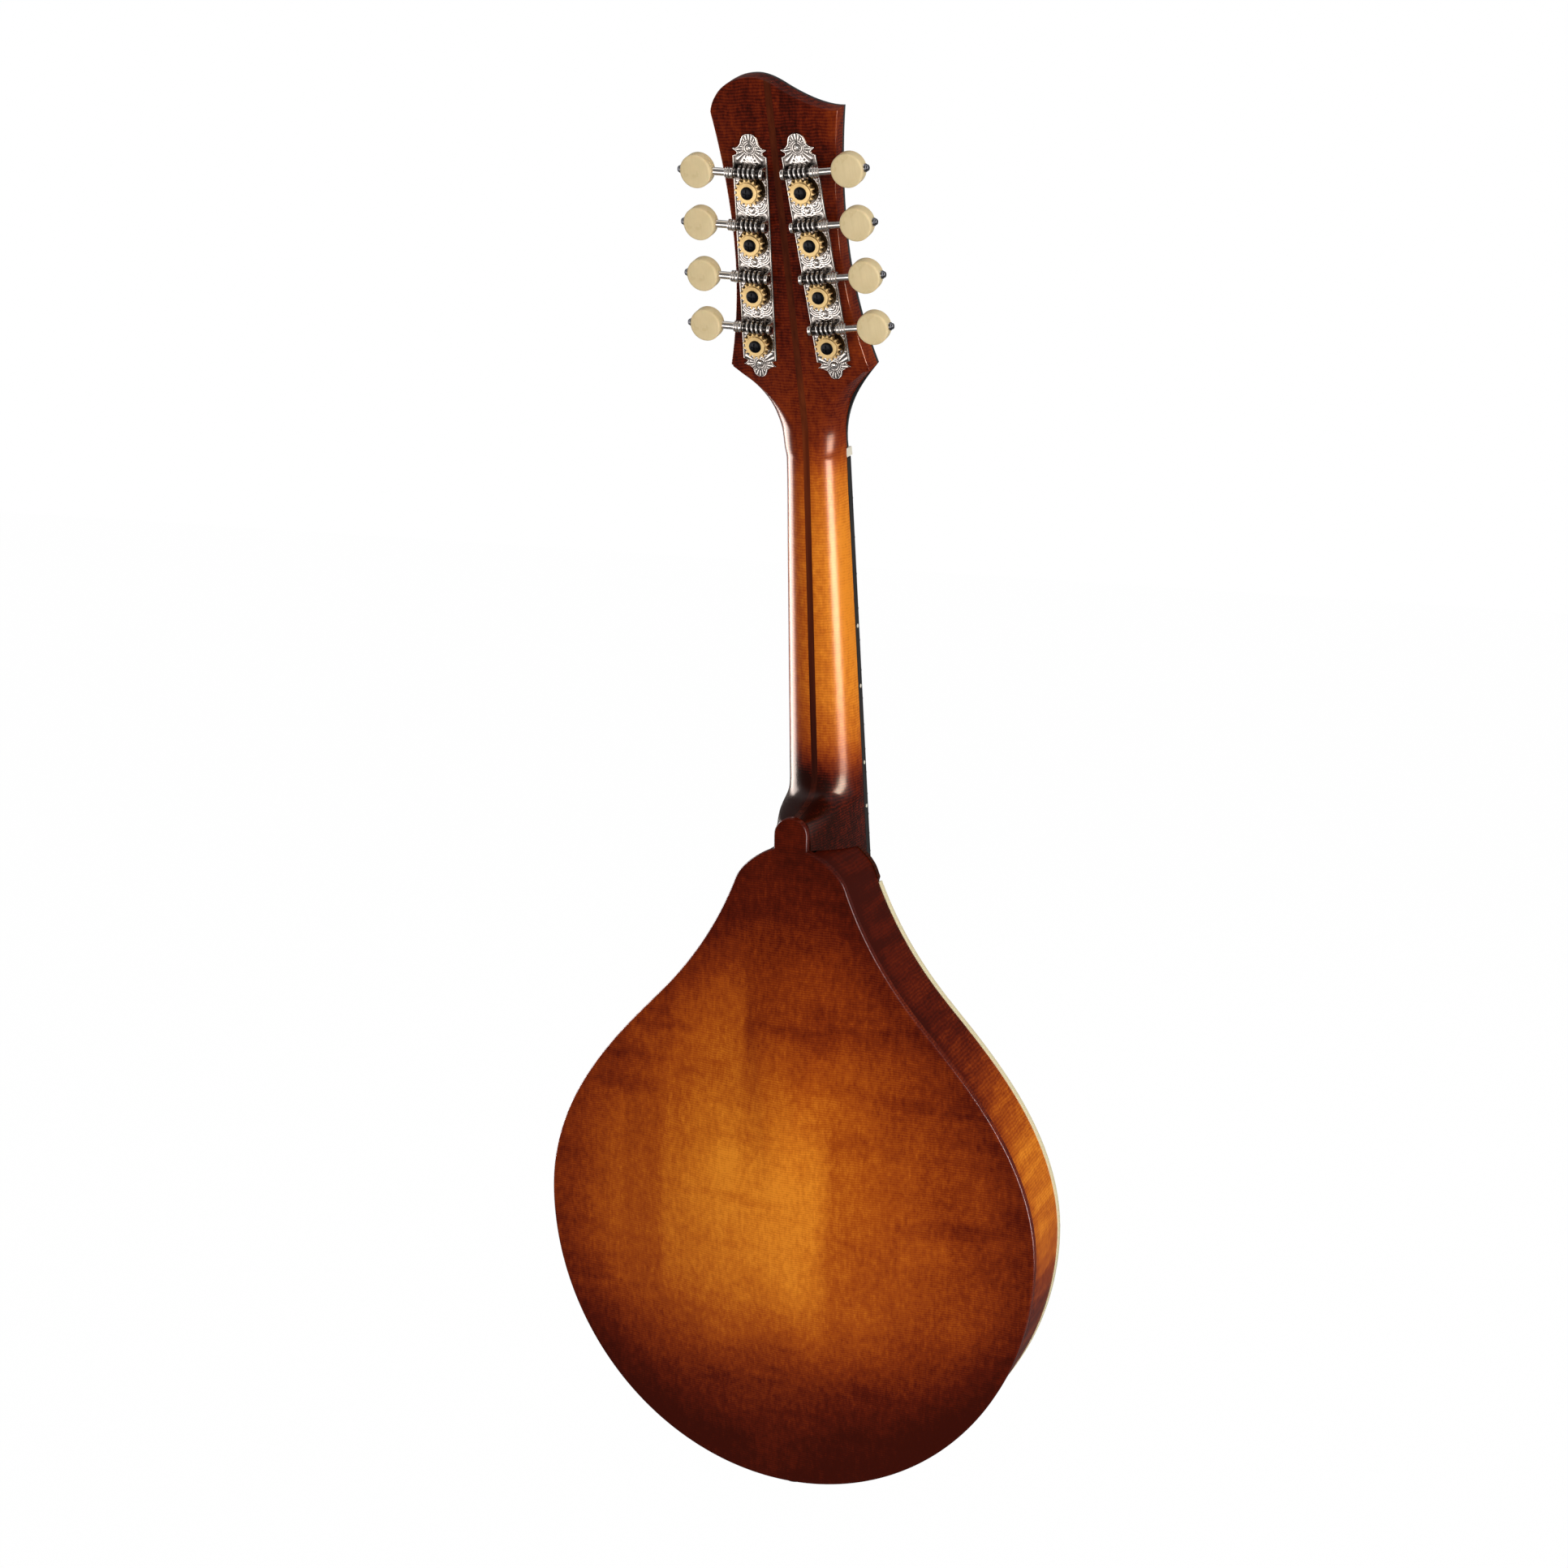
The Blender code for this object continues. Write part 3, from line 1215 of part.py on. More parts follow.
def bridge_height():
    """Y and Z, in the body's frame, of the strings over the saddle."""
    local = Vector((0, -STRING_HEIGHT_BRIDGE, -(SCALE_LENGTH + BRIDGE_COMPENSATION)))
    world = NECK.matrix_basis @ local
    return world - BODY_ORIGIN


def build_bridge():
    crossing = bridge_height()
    z = crossing.z
    top = top_face(0, z)
    place = Matrix.Translation((0, 0, z))

    half = BRIDGE_THICKNESS / 2

    def seat(x):
        return min(top_face(x, z + edge) for edge in (-half, 0, half)) - SEAT_GAP

    feet = [BRIDGE_HALF_LENGTH, 0.046, 0.040, 0.034, 0.029, 0.024, FOOT_INNER]
    outline = [Vector((x, seat(x))) for x in feet]
    outline += [Vector((FOOT_INNER - 0.004, seat(FOOT_INNER) - FOOT_ARCH)), Vector((0, seat(0) - FOOT_ARCH))]
    wing_tip = seat(BRIDGE_HALF_LENGTH) - 0.0030
    right_top = [Vector((STUD_X + 0.006, top - BRIDGE_BASE_HEIGHT)), Vector((BRIDGE_HALF_LENGTH, wing_tip))]
    loop = outline + [mirrored(point) for point in reversed(outline[:-1])]
    loop += [mirrored(point) for point in reversed(right_top)] + right_top
    base = place_piece("bridge_base", prism([loop], -half, half, "Z"), BODY, EBONY, place)
    for side in (BASS, TREBLE):
        stud = pin(STUD_RADIUS, top - STUD_TOP, top - BRIDGE_BASE_HEIGHT + 0.003, 10, "Y")
        stud_place = place @ Matrix.Translation((side * STUD_X, 0, 0))
        boolean(base, tool(f"stud_{side}", stud, BODY, stud_place), "UNION")

    wheel_low = BRIDGE_BASE_HEIGHT + SEAT_GAP + SADDLE_TRAVEL
    wheel_high = wheel_low + WHEEL_THICKNESS
    saddle_low = wheel_high + SEAT_GAP
    for side, label in ((BASS, "bass"), (TREBLE, "treble")):
        round_off = WHEEL_RADIUS - WHEEL_ROUND
        bore = STUD_RADIUS + RUNNING_GAP
        ring = [(bore, 0), (round_off, 0), (WHEEL_RADIUS, -WHEEL_ROUND)]
        ring += [(WHEEL_RADIUS, WHEEL_ROUND - WHEEL_THICKNESS), (round_off, -WHEEL_THICKNESS)]
        ring += [(bore, -WHEEL_THICKNESS), (bore, 0)]
        wheel_place = place @ Matrix.Translation((side * STUD_X, top - wheel_low, 0))
        place_piece(f"thumbwheel_{label}", turned(ring, 18, "Y"), BODY, BRASS, wheel_place)

    crest = crossing.y
    saddle_top = crest + max(STRING_RADII) + STRING_CLEARANCE
    wing = saddle_low + 0.0035
    end, crown = SADDLE_HALF_LENGTH, SADDLE_CROWN_HALF
    thick, thin = SADDLE_THICKNESS / 2, SADDLE_CREST / 2
    right = [(crown, saddle_top, thin), (end, top - wing, thick), (end, top - saddle_low - 0.0005, thick)]
    right += [(STUD_X + 0.008, top - saddle_low, thick)]
    section = right + [(-x, y, half_depth) for x, y, half_depth in reversed(right)]
    rings = [[(x, y, sign * half_depth) for x, y, half_depth in section] for sign in (-1, 1)]
    saddle = place_piece("bridge_saddle", loft(rings), BODY, EBONY, place)
    for side in (BASS, TREBLE):
        floor = top - STUD_TOP - SADDLE_TRAVEL - 2 * SEAT_GAP
        hole = pin(STUD_RADIUS + RUNNING_GAP, floor, top - saddle_low + 0.001, 12, "Y")
        hole_place = place @ Matrix.Translation((side * STUD_X, 0, 0))
        boolean(saddle, tool(f"stud_hole_{side}", hole, BODY, hole_place))


TAIL_Z = WIDEST_HEIGHT - TAIL_DROP


def side_sheet(line, thickness):
    """A bent sheet seen from the side, as (z, y) points of its outer line, made solid inwards."""
    inner = []
    for i, point in enumerate(line):
        before = line[max(i - 1, 0)]
        after = line[min(i + 1, len(line) - 1)]
        along = (after - before).normalized()
        inner.append(point + Vector((along.y, -along.x)) * thickness)
    return line + list(reversed(inner))


def build_tailpiece(pin_hole):
    top_z = TAIL_Z + TAIL_REACH
    stand = top_face(0, top_z) - SEAT_GAP - TAIL_SHEET
    outside = TAIL_Z - SEAT_GAP - TAIL_SHEET
    line = [Vector((top_z, stand)), Vector((TAIL_Z + 0.010, -TAIL_STAND))]
    line += [Vector((TAIL_Z, -TAIL_STAND + 0.0004)), Vector((outside, -TAIL_STAND + 0.0016))]
    line += [Vector((outside, TAIL_WRAP))]
    loop = side_sheet(line, TAIL_SHEET)
    rings = [[(x, point.y, point.x) for point in loop] for x in (-TAIL_HALF_WIDTH, TAIL_HALF_WIDTH)]
    base = place_piece("tailpiece_base", loft(rings), BODY, NICKEL)
    hooks = []
    hook_z = TAIL_Z + HOOK_REACH
    share = (hook_z - line[1].x) / (line[0].x - line[1].x)
    floor = line[1].y + (line[0].y - line[1].y) * share
    for index in range(8):
        x = string_x(index, COURSE_SPACING_HOOKS, PAIR_SPACING_HOOKS)
        half = HOOK_SIZE / 2
        low = (x - half, floor - HOOK_HEIGHT, hook_z - half)
        hooks.append(box(low, (x + half, floor + TAIL_SHEET / 2, hook_z + half)))
    boolean(base, tool("hooks", merged(hooks), BODY), "UNION")
    boolean(base, pin_hole)

    front = floor - COVER_HEIGHT + 0.004
    start = outside - SEAT_GAP - COVER_WALL
    end = start + COVER_LENGTH
    shell = box((-COVER_HALF_WIDTH, front, start), (COVER_HALF_WIDTH, -TAIL_SHEET, end))
    work = bmesh.new()
    work.from_mesh(shell)
    front_edges = [e for e in work.edges if all(v.co.y < front + 1e-6 for v in e.verts)]
    bmesh.ops.bevel(work, geom=front_edges, offset=0.0022, segments=2, profile=0.5, affect="EDGES")
    work.to_mesh(shell)
    work.free()
    cover = place_piece("tailpiece_cover", shell, BODY, NICKEL)
    wall = COVER_WALL
    inside = COVER_HALF_WIDTH - wall
    cavity = box((-inside, front + wall, start + wall), (inside, 0.010, end + 0.010))
    boolean(cover, tool("cover_space", cavity, BODY))
    skirt = box((-0.05, top_face(0, end) - SEAT_GAP * 3, start + wall + 0.0002), (0.05, 0.010, end + 0.010))
    boolean(cover, tool("cover_skirt_space", skirt, BODY))
    return hook_z, floor


def build_end_pin():
    face = TAIL_SHEET + 2 * SEAT_GAP
    profile = [(0, PIN_REACH), (PIN_RADIUS * 0.8, PIN_REACH), (PIN_RADIUS, -face)]
    profile += [(PIN_FLANGE_RADIUS, -face), (PIN_FLANGE_RADIUS, -face - 0.0012)]
    profile += [(PIN_RADIUS, -face - 0.0022), (PIN_RADIUS, 0.0036 - PIN_LENGTH)]
    profile += [(PIN_HEAD_RADIUS, 0.0022 - PIN_LENGTH), (PIN_HEAD_RADIUS, 0.0006 - PIN_LENGTH)]
    profile += [(PIN_HEAD_RADIUS * 0.8, -PIN_LENGTH), (0, -PIN_LENGTH)]
    place = Matrix.Translation((0, BODY_DEPTH / 2, TAIL_Z))
    place_piece("end_pin", turned(profile, 12), BODY, EBONY, place)


def string_route(index, hook_z, hook_floor):
    """One string from its hook over the saddle and nut to its turns on the post, in world space."""
    radius = STRING_RADII[index]
    side, row = machine_of(index)
    x_nut = string_x(index, COURSE_SPACING_NUT, PAIR_SPACING_NUT)
    x_bridge = string_x(index, COURSE_SPACING_BRIDGE, PAIR_SPACING_BRIDGE)
    x_hook = string_x(index, COURSE_SPACING_HOOKS, PAIR_SPACING_HOOKS)
    body_place = BODY.matrix_world
    neck_place = NECK.matrix_world
    crossing = bridge_height()
    past_hook = hook_z + HOOK_SIZE / 2 + SEAT_GAP + radius
    start = body_place @ Vector((x_hook, hook_floor - HOOK_HEIGHT * 0.6, past_hook))
    over_bridge = body_place @ Vector((x_bridge, crossing.y, crossing.z))
    over_nut = neck_place @ Vector((x_nut, -STRING_HEIGHT_NUT, 0))
    past_nut = neck_place @ Vector((x_nut, -STRING_HEIGHT_NUT + 0.0004, NUT_LENGTH + 0.001))
    points = [start, over_bridge, over_nut, past_nut]
    machine = MACHINES[side].matrix_world
    centre = Vector((0, 0, row * GEAR_SPACING))
    winding = POST_RADIUS + STRING_CLEARANCE + radius
    turn_height = glue_in_head() - OVERLAY_THICKNESS - HEAD_BACK - 0.0075
    count = 9
    for i in range(int(WRAP_TURNS * count) + 1):
        turns = i / count
        angle = math.pi / 2 + side * math.pi / 2 + side * 2 * math.pi * turns
        height = turn_height + WRAP_STEP * turns
        turn = Vector((winding * math.cos(angle), height, winding * math.sin(angle)))
        points.append(machine @ (centre + turn))
    return points


def build_strings(hook_z, hook_floor):
    bpy.context.view_layer.update()
    for index, label in enumerate(STRING_NAMES):
        curve = bpy.data.curves.new(f"string_{label}", "CURVE")
        curve.dimensions = "3D"
        curve.bevel_depth = STRING_RADII[index]
        curve.bevel_resolution = 0
        curve.use_fill_caps = True
        route = string_route(index, hook_z, hook_floor)
        spline = curve.splines.new("POLY")
        spline.points.add(len(route) - 1)
        for point, place in zip(spline.points, route):
            point.co = (*place, 1)
        mesh = curve_object_mesh(curve)
        place_piece(f"string_{label}", mesh, None, STEEL)


build_back()
build_top()
PIN_HOLE = build_sides()
build_tone_bars()
ROD_POCKET, POST_HOLES = build_neck()
build_fingerboard()
NUT_END = build_nut()
build_head_front(ROD_POCKET, POST_HOLES, NUT_END)
build_truss_rod()
build_tuners()
build_bridge()
HOOK_Z, HOOK_FLOOR = build_tailpiece(PIN_HOLE)
build_end_pin()
build_strings(HOOK_Z, HOOK_FLOOR)
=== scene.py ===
"""Looks of the a-style mandolin: smooth carved woods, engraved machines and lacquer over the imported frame.

Meshes are made in the frame of what carries them: the body's, the neck's, the headstock's tilted
frame, the tapered face's or a machine plate's. The strings run in world space. X is the treble side,
Y the back, Z up the neck.
"""

import json
from math import cos, pi, radians, sin

import bmesh
import bpy
import numpy as np
from mathutils import Matrix, Vector

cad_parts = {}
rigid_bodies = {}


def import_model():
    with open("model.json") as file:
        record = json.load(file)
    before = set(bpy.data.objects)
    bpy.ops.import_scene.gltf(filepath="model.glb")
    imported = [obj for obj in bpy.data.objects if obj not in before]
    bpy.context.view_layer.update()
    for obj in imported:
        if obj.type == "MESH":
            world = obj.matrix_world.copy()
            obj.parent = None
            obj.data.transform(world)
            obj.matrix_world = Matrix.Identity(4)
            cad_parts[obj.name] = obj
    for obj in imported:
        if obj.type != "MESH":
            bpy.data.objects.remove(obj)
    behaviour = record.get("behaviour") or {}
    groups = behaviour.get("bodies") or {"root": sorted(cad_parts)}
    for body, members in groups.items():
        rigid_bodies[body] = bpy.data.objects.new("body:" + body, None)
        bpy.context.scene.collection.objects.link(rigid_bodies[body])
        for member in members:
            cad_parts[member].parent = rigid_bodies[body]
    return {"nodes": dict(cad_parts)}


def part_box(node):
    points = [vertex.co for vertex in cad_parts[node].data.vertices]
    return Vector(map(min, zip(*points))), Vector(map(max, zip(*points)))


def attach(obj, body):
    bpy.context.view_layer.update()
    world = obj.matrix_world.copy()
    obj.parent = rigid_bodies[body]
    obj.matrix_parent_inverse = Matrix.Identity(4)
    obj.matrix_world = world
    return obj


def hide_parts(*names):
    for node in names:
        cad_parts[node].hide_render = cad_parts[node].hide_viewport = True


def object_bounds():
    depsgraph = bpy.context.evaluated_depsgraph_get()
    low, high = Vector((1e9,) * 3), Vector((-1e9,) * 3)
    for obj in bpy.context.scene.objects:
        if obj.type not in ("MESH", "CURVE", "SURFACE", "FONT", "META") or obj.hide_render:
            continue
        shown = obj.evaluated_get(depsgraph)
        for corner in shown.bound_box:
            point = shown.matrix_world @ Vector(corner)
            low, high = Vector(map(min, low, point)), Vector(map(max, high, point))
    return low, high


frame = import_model()
cad_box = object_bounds()

ROOT = "mandolin"
BASS, TREBLE = -1, 1
SIDES = ((BASS, "bass"), (TREBLE, "treble"))
STRINGS = ("g1", "g2", "d1", "d2", "a1", "a2", "e1", "e2")

# Sizes of the solids, in metres
NECK_ANGLE = radians(7.66)
HEAD_ANGLE = radians(11.5)
HEAD_TAPER = radians(1.2)
NUT_TO_BODY = 0.190
BOARD_RISE = 0.0113
NECK_JOINT = 0.1874
HALF_WIDTH, TAIL_DROP, WIDEST = 0.1266, 0.1356, 0.004
CROWN = NECK_JOINT + 0.0071
BODY_DEPTH, PLATE_EDGE, PLATE_CROWN = 0.0458, 0.0040, 0.0034
TOP_ARCH, BACK_ARCH, ARCH_MARGIN, ARCH_CENTRE = 0.0150, 0.0140, 0.93, 0.010
RIB_THICKNESS = 0.0022
RIB_STEP = 0.0004
BINDING_WIDTH, BINDING_HEIGHT, BINDING_TOP = 0.0015, 0.0040, 0.1715
BUTTON_HALF, BUTTON_RISE, BUTTON_ROOT = 0.0083, 0.0211, 0.0060
NUT_HALF, NECK_TAPER = 0.0143, 0.0264
BOARD_THICKNESS = 0.0052
GLUE_PLANE = BOARD_THICKNESS + 0.0003
GLUE_IN_HEAD = GLUE_PLANE * cos(HEAD_ANGLE)
GLUE_IN_FACE = GLUE_PLANE * cos(HEAD_ANGLE + HEAD_TAPER)
SCALE_LENGTH, FRET_COUNT = 0.3524, 20
BOARD_LENGTH = SCALE_LENGTH * (1 - 2 ** (-FRET_COUNT / 12)) + 0.0036
HEEL_TIP, HEEL_DEPTH, HEEL_FLAT = 0.164, 0.0550, 0.0042
LAMINATION_HALF, LAMINATION_FLOOR = 0.00155, 0.0145
HEAD_BACK, OVERLAY = 0.0166, 0.0020
GEAR_SPACING = 0.02306
PLATE_HALF, PLATE_TOP = 0.0080, 0.0010
PLATE_FOOT, PLATE_HEAD = -0.0078, 3 * GEAR_SPACING + 0.0145
WORM_AXIS, WORM_CENTRE = 0.00435, 0.0082
WORM_RADIUS, WORM_ROOT, THREAD_PITCH, THREAD_TURNS = 0.0031, 0.0020, 0.0022, 4
GEAR_TEETH = 16
BUTTON_AT, BUTTON_RADIUS, BUTTON_THICKNESS = 0.0232, 0.00725, 0.0064
STRING_RADII = (0.00050, 0.00050, 0.00033, 0.00033, 0.00020, 0.00020, 0.00015, 0.00015)
TAIL_Z = WIDEST - TAIL_DROP
FRONT_IN_FACE = GLUE_IN_FACE - 0.0003 - OVERLAY
ROWS = range(4)
POCKET_HALF, POCKET_FLOOR, POCKET_TOP = 0.0052, 0.0149, 0.024
ENGRAVED = 0.00020

# A length that clears every solid
FAR = 0.3

# Strength of the studio's light on surfaces and in a gloss, and how far below the object its floor lies
WORLD_LEVEL, ROOM_LEVEL, FLOOR_DROP = 0.52, 0.14, 0.30
WHITE = (1, 1, 1, 1)


def about(axis, angle):
    return Matrix.Rotation(angle, 4, axis)


def shift(x, y, z):
    return Matrix.Translation((x, y, z))


def vec(*numbers):
    return Vector(numbers)


JOINT = vec(0, -sin(NECK_ANGLE), -cos(NECK_ANGLE)) * NUT_TO_BODY
BODY = Matrix.Translation(JOINT + vec(0, BOARD_RISE, -NECK_JOINT))
NECK = about("X", -NECK_ANGLE)
HEAD = NECK @ about("X", -HEAD_ANGLE)
FACE = HEAD @ about("X", -HEAD_TAPER)
MACHINE = {
    side: HEAD @ shift(side * 0.0172, HEAD_BACK + 0.0003, 0.0602) @ about("Y", -side * radians(4.02))
    for side in (BASS, TREBLE)
}


# Materials
class Nodes:
    """Short calls for the nodes of a tree."""

    def __init__(self, tree):
        self.tree = tree

    def fill(self, node, inputs):
        for key, value in inputs.items():
            socket = node.inputs[key.replace("_", " ") if isinstance(key, str) else key]
            if isinstance(value, bpy.types.NodeSocket):
                self.tree.links.new(value, socket)
            else:
                socket.default_value = value

    def node(self, kind, inputs=None, **settings):
        node = self.tree.nodes.new("ShaderNode" + kind)
        for key, value in settings.items():
            setattr(node, key, value)
        self.fill(node, inputs or {})
        return node

    def calc(self, operation, first, second=0.0, third=0.0):
        return self.node("Math", {0: first, 1: second, 2: third}, operation=operation).outputs[0]

    def plus(self, first, second):
        return self.calc("ADD", first, second)

    def less(self, first, second):
        return self.calc("SUBTRACT", first, second)

    def times(self, first, second):
        return self.calc("MULTIPLY", first, second)

    def scaled(self, value, gain, base):
        """The value times the gain, laid on the base."""
        return self.calc("MULTIPLY_ADD", value, gain, base)

    def ease(self, value, low, high, start=0.0, end=1.0):
        inputs = {0: value, 1: low, 2: high, 3: start, 4: end}
        return self.node("MapRange", inputs, interpolation_type="SMOOTHSTEP").outputs[0]

    def ramp(self, value, stops):
        node = self.node("ValToRGB", {0: value})
        points = node.color_ramp.elements
        while len(points) < len(stops):
            points.new(0.5)
        for point, (at, colour) in zip(points, stops):
            point.position = at
            point.color = (*colour, 1)
        return node.outputs[0]

    def blend(self, share, first, second, how="MIX"):
        node = self.node("Mix", data_type="RGBA", blend_type=how)
        for index, value in ((0, share), (6, first), (7, second)):
            self.fill(node, {index: value if not isinstance(value, tuple) else (*value, 1)})
        return node.outputs[2]

    def join(self, share, first, second, output):
        """The tree's output made a mix of two shaders."""
        mix = self.node("MixShader", {0: share, 1: first.outputs[0], 2: second.outputs[0]})
        self.fill(self.tree.nodes[output], {0: mix.outputs[0]})


class Finish(Nodes):
    """A Principled material with the place on the object, its axes and what varies over them at hand."""

    def __init__(self, name, **settings):
        self.material = bpy.data.materials.new(name)
        self.material.use_nodes = True
        super().__init__(self.material.node_tree)
        self.set(**settings)
        self.place = self.node("TexCoord").outputs["Object"]
        self.axes = self.node("SeparateXYZ", {0: self.place}).outputs

    def set(self, **settings):
        self.fill(self.tree.nodes["Principled BSDF"], settings)

    def attribute(self, name):
        return self.node("Attribute", attribute_name=name).outputs["Fac"]

    def noise(self, scale, stretch=(1, 1, 1), detail=3.0, roughness=0.55, distortion=0.0):
        moved = self.node("Mapping", {0: self.place, 3: stretch}).outputs[0]
        inputs = {"Vector": moved, "Scale": scale, "Detail": detail, "Roughness": roughness}
        return self.node("TexNoise", {**inputs, "Distortion": distortion}).outputs[0]

    def bands(self, direction, scale, **inputs):
        inputs = {"Vector": self.place, "Scale": scale, **inputs}
        return self.node("TexWave", inputs, wave_type="BANDS", bands_direction=direction).outputs[1]

    def levels(self, value, *stops):
        """A level read off along a value, from pairs of place and level."""
        return self.ramp(value, [(at, (level,) * 3) for at, level in stops])

    def bumped(self, height, distance):
        inputs = {"Height": height, "Distance": distance, "Strength": 1.0}
        self.set(Normal=self.node("Bump", inputs).outputs[0])


HEEL_SHADE = (0.018, 0.0020, 0.0005)
SUNBURST = (
    (0.00, (0.045, 0.0035, 0.0008)),
    (0.20, (0.095, 0.0075, 0.0012)),
    (0.42, (0.215, 0.0270, 0.0020)),
    (0.64, (0.380, 0.0700, 0.0035)),
    (0.84, (0.580, 0.1520, 0.0080)),
    (1.00, (0.740, 0.2350, 0.0150)),
)


def figured(finish, level, stops, grain_stretch=(1, 1, 0.05), wave_scale=280.0):
    """Colour for flamed maple: a level between dark rim and amber, with fine wavy figure and grain."""
    curl = finish.bands("Z", wave_scale, Distortion=4.5, Detail=2.0, Detail_Scale=0.6)
    grain = finish.noise(1100.0, grain_stretch, 3.0, 0.7)
    flecks = finish.noise(420.0, (1, 1, 0.6), 4.0, 0.7)
    level = finish.scaled(curl, 0.110, level)
    level = finish.scaled(grain, 0.20, level)
    level = finish.scaled(flecks, 0.50, level)
    level = finish.less(level, 0.400)
    finish.set(Base_Color=finish.ramp(level, stops))
    finish.bumped(grain, 0.00002)
    return finish.material


def zone(finish, value, low, high, soft):
    """One inside a soft-edged stretch of a value and nought outside it."""
    rise = finish.ease(value, low - soft, low + soft)
    fall = finish.ease(value, high - soft, high + soft, 1.0, 0.0)
    return finish.times(rise, fall)


def lacquered(name, roughness=0.30, ior=1.12):
    return Finish(name, Roughness=roughness, IOR=ior)


def back_maple():
    finish = lacquered("lacquered_back_maple", 0.27, 1.18)
    share = finish.attribute("share")
    x, _, z = finish.axes
    across = finish.times(finish.less(x, 0.012), 10.5)
    up = finish.times(finish.less(z, 0.012), 9.6)
    radius = finish.calc("POWER", finish.scaled(across, across, finish.times(up, up)), 0.5)
    level = finish.ease(radius, 0.0, 1.75, 0.84, 0.30)
    rim = finish.ease(share, 0.78, 1.0, 0.0, -0.12)
    level = finish.plus(level, rim)
    flames = finish.noise(30.0, (0.55, 0.55, 4.2), 2.0, 0.55, 0.12)
    where = finish.ease(finish.noise(19.0, (1, 1, 1), 2.0), 0.45, 0.62)
    streak = finish.times(finish.ease(flames, 0.52, 0.36), where)
    level = finish.scaled(streak, -0.08, level)
    clouds = finish.noise(26.0, (1, 1, 1), 5.0, 0.65)
    level = finish.scaled(clouds, 0.36, level)
    level = finish.less(level, 0.180)
    wavy = finish.scaled(finish.noise(17.0, (1.5, 1, 1), 3.0), 0.030, finish.less(z, 0.015))
    # Painted reflection: soft-edged patches with straight edges raise or lower the level where studio lights
    # reflected; the thin dark bands among them are flame figure.
    for low_x, high_x, low_z, high_z, soft, gain in (
        (0.0200, 0.0600, 0.085, 0.130, 0.030, 0.11),
        (-0.0265, 0.0200, 0.085, 0.130, 0.025, -0.08),
        (-0.0265, 0.0630, -0.040, 0.055, 0.022, 0.05),
        (-0.0620, -0.0265, -0.035, 0.070, 0.022, -0.05),
        (0.0630, 0.0850, -0.030, 0.070, 0.022, -0.07),
        (-0.0050, 0.0020, -0.040, 0.130, 0.020, 0.03),
        (-0.0230, -0.0050, -0.050, 0.040, 0.022, 0.06),
        (0.0200, 0.0330, 0.020, 0.060, 0.020, 0.06),
        (-0.1100, 0.0200, 0.102, 0.110, 0.005, -0.10),
        (-0.1100, -0.0265, 0.078, 0.083, 0.005, -0.08),
        (-0.1200, -0.0265, 0.050, 0.054, 0.004, -0.07),
        (-0.0600, 0.0450, 0.158, 0.163, 0.005, -0.08),
        (-0.1100, -0.0600, 0.015, 0.022, 0.005, -0.07),
        (0.0680, 0.1000, 0.062, 0.068, 0.003, -0.10),
        (0.0640, 0.0980, 0.077, 0.082, 0.003, -0.09),
        (0.0500, 0.0900, 0.095, 0.099, 0.003, -0.07),
    ):
        stripe = zone(finish, x, low_x, high_x, 0.0025)
        flame_and_sheen_patch = finish.times(stripe, zone(finish, wavy, low_z, high_z, soft))
        level = finish.scaled(flame_and_sheen_patch, gain, level)
    tail = finish.ease(z, -0.105, -0.022, -0.35, 0.0)
    low = finish.plus(tail, finish.ease(z, -0.130, -0.106, 0.12, 0.0))
    high = finish.ease(z, 0.100, 0.170, 0.0, -0.10)
    level = finish.plus(finish.plus(level, low), high)
    return figured(finish, level, SUNBURST)


def side_maple():
    finish = lacquered("lacquered_side_maple", 0.32, 1.12)
    z = finish.axes[2]
    along = finish.ease(z, -0.135, 0.195)
    stops = ((0.0, 0.08), (0.26, 0.28), (0.42, 0.76), (0.58, 0.86), (0.70, 0.58), (0.82, 0.18), (1.0, 0.0))
    level = finish.levels(along, *stops)
    flames = finish.noise(60.0, (0.6, 0.3, 2.6), 3.0, 0.55, 0.3)
    level = finish.scaled(finish.ease(flames, 0.36, 0.64), 0.16, level)
    edge = finish.ease(finish.axes[1], 0.030, 0.0418, 0.0, -0.16)
    level = finish.plus(finish.less(level, 0.07), edge)
    return figured(finish, level, SUNBURST, (1, 0.6, 0.15), 240.0)


def top_spruce():
    finish = lacquered("lacquered_top_spruce")
    share = finish.attribute("share")
    level = finish.ease(share, 0.30, 1.0, 0.98, 0.06)
    clouds = finish.noise(12.0)
    level = finish.plus(level, finish.scaled(clouds, 0.16, -0.08))
    lines = finish.bands("X", 260.0, Distortion=1.2, Detail=2.0, Detail_Scale=0.3)
    grain = finish.noise(500.0, (1, 1, 0.03), 2.0)
    level = finish.less(level, finish.times(lines, 0.09))
    stops = ((0.0, (0.030, 0.005, 0.002)), (0.3, (0.15, 0.030, 0.006)))
    stops += ((0.6, (0.46, 0.14, 0.020)), (1.0, (0.80, 0.42, 0.10)))
    finish.set(Base_Color=finish.ramp(level, stops))
    finish.bumped(grain, 0.00003)
    return finish.material


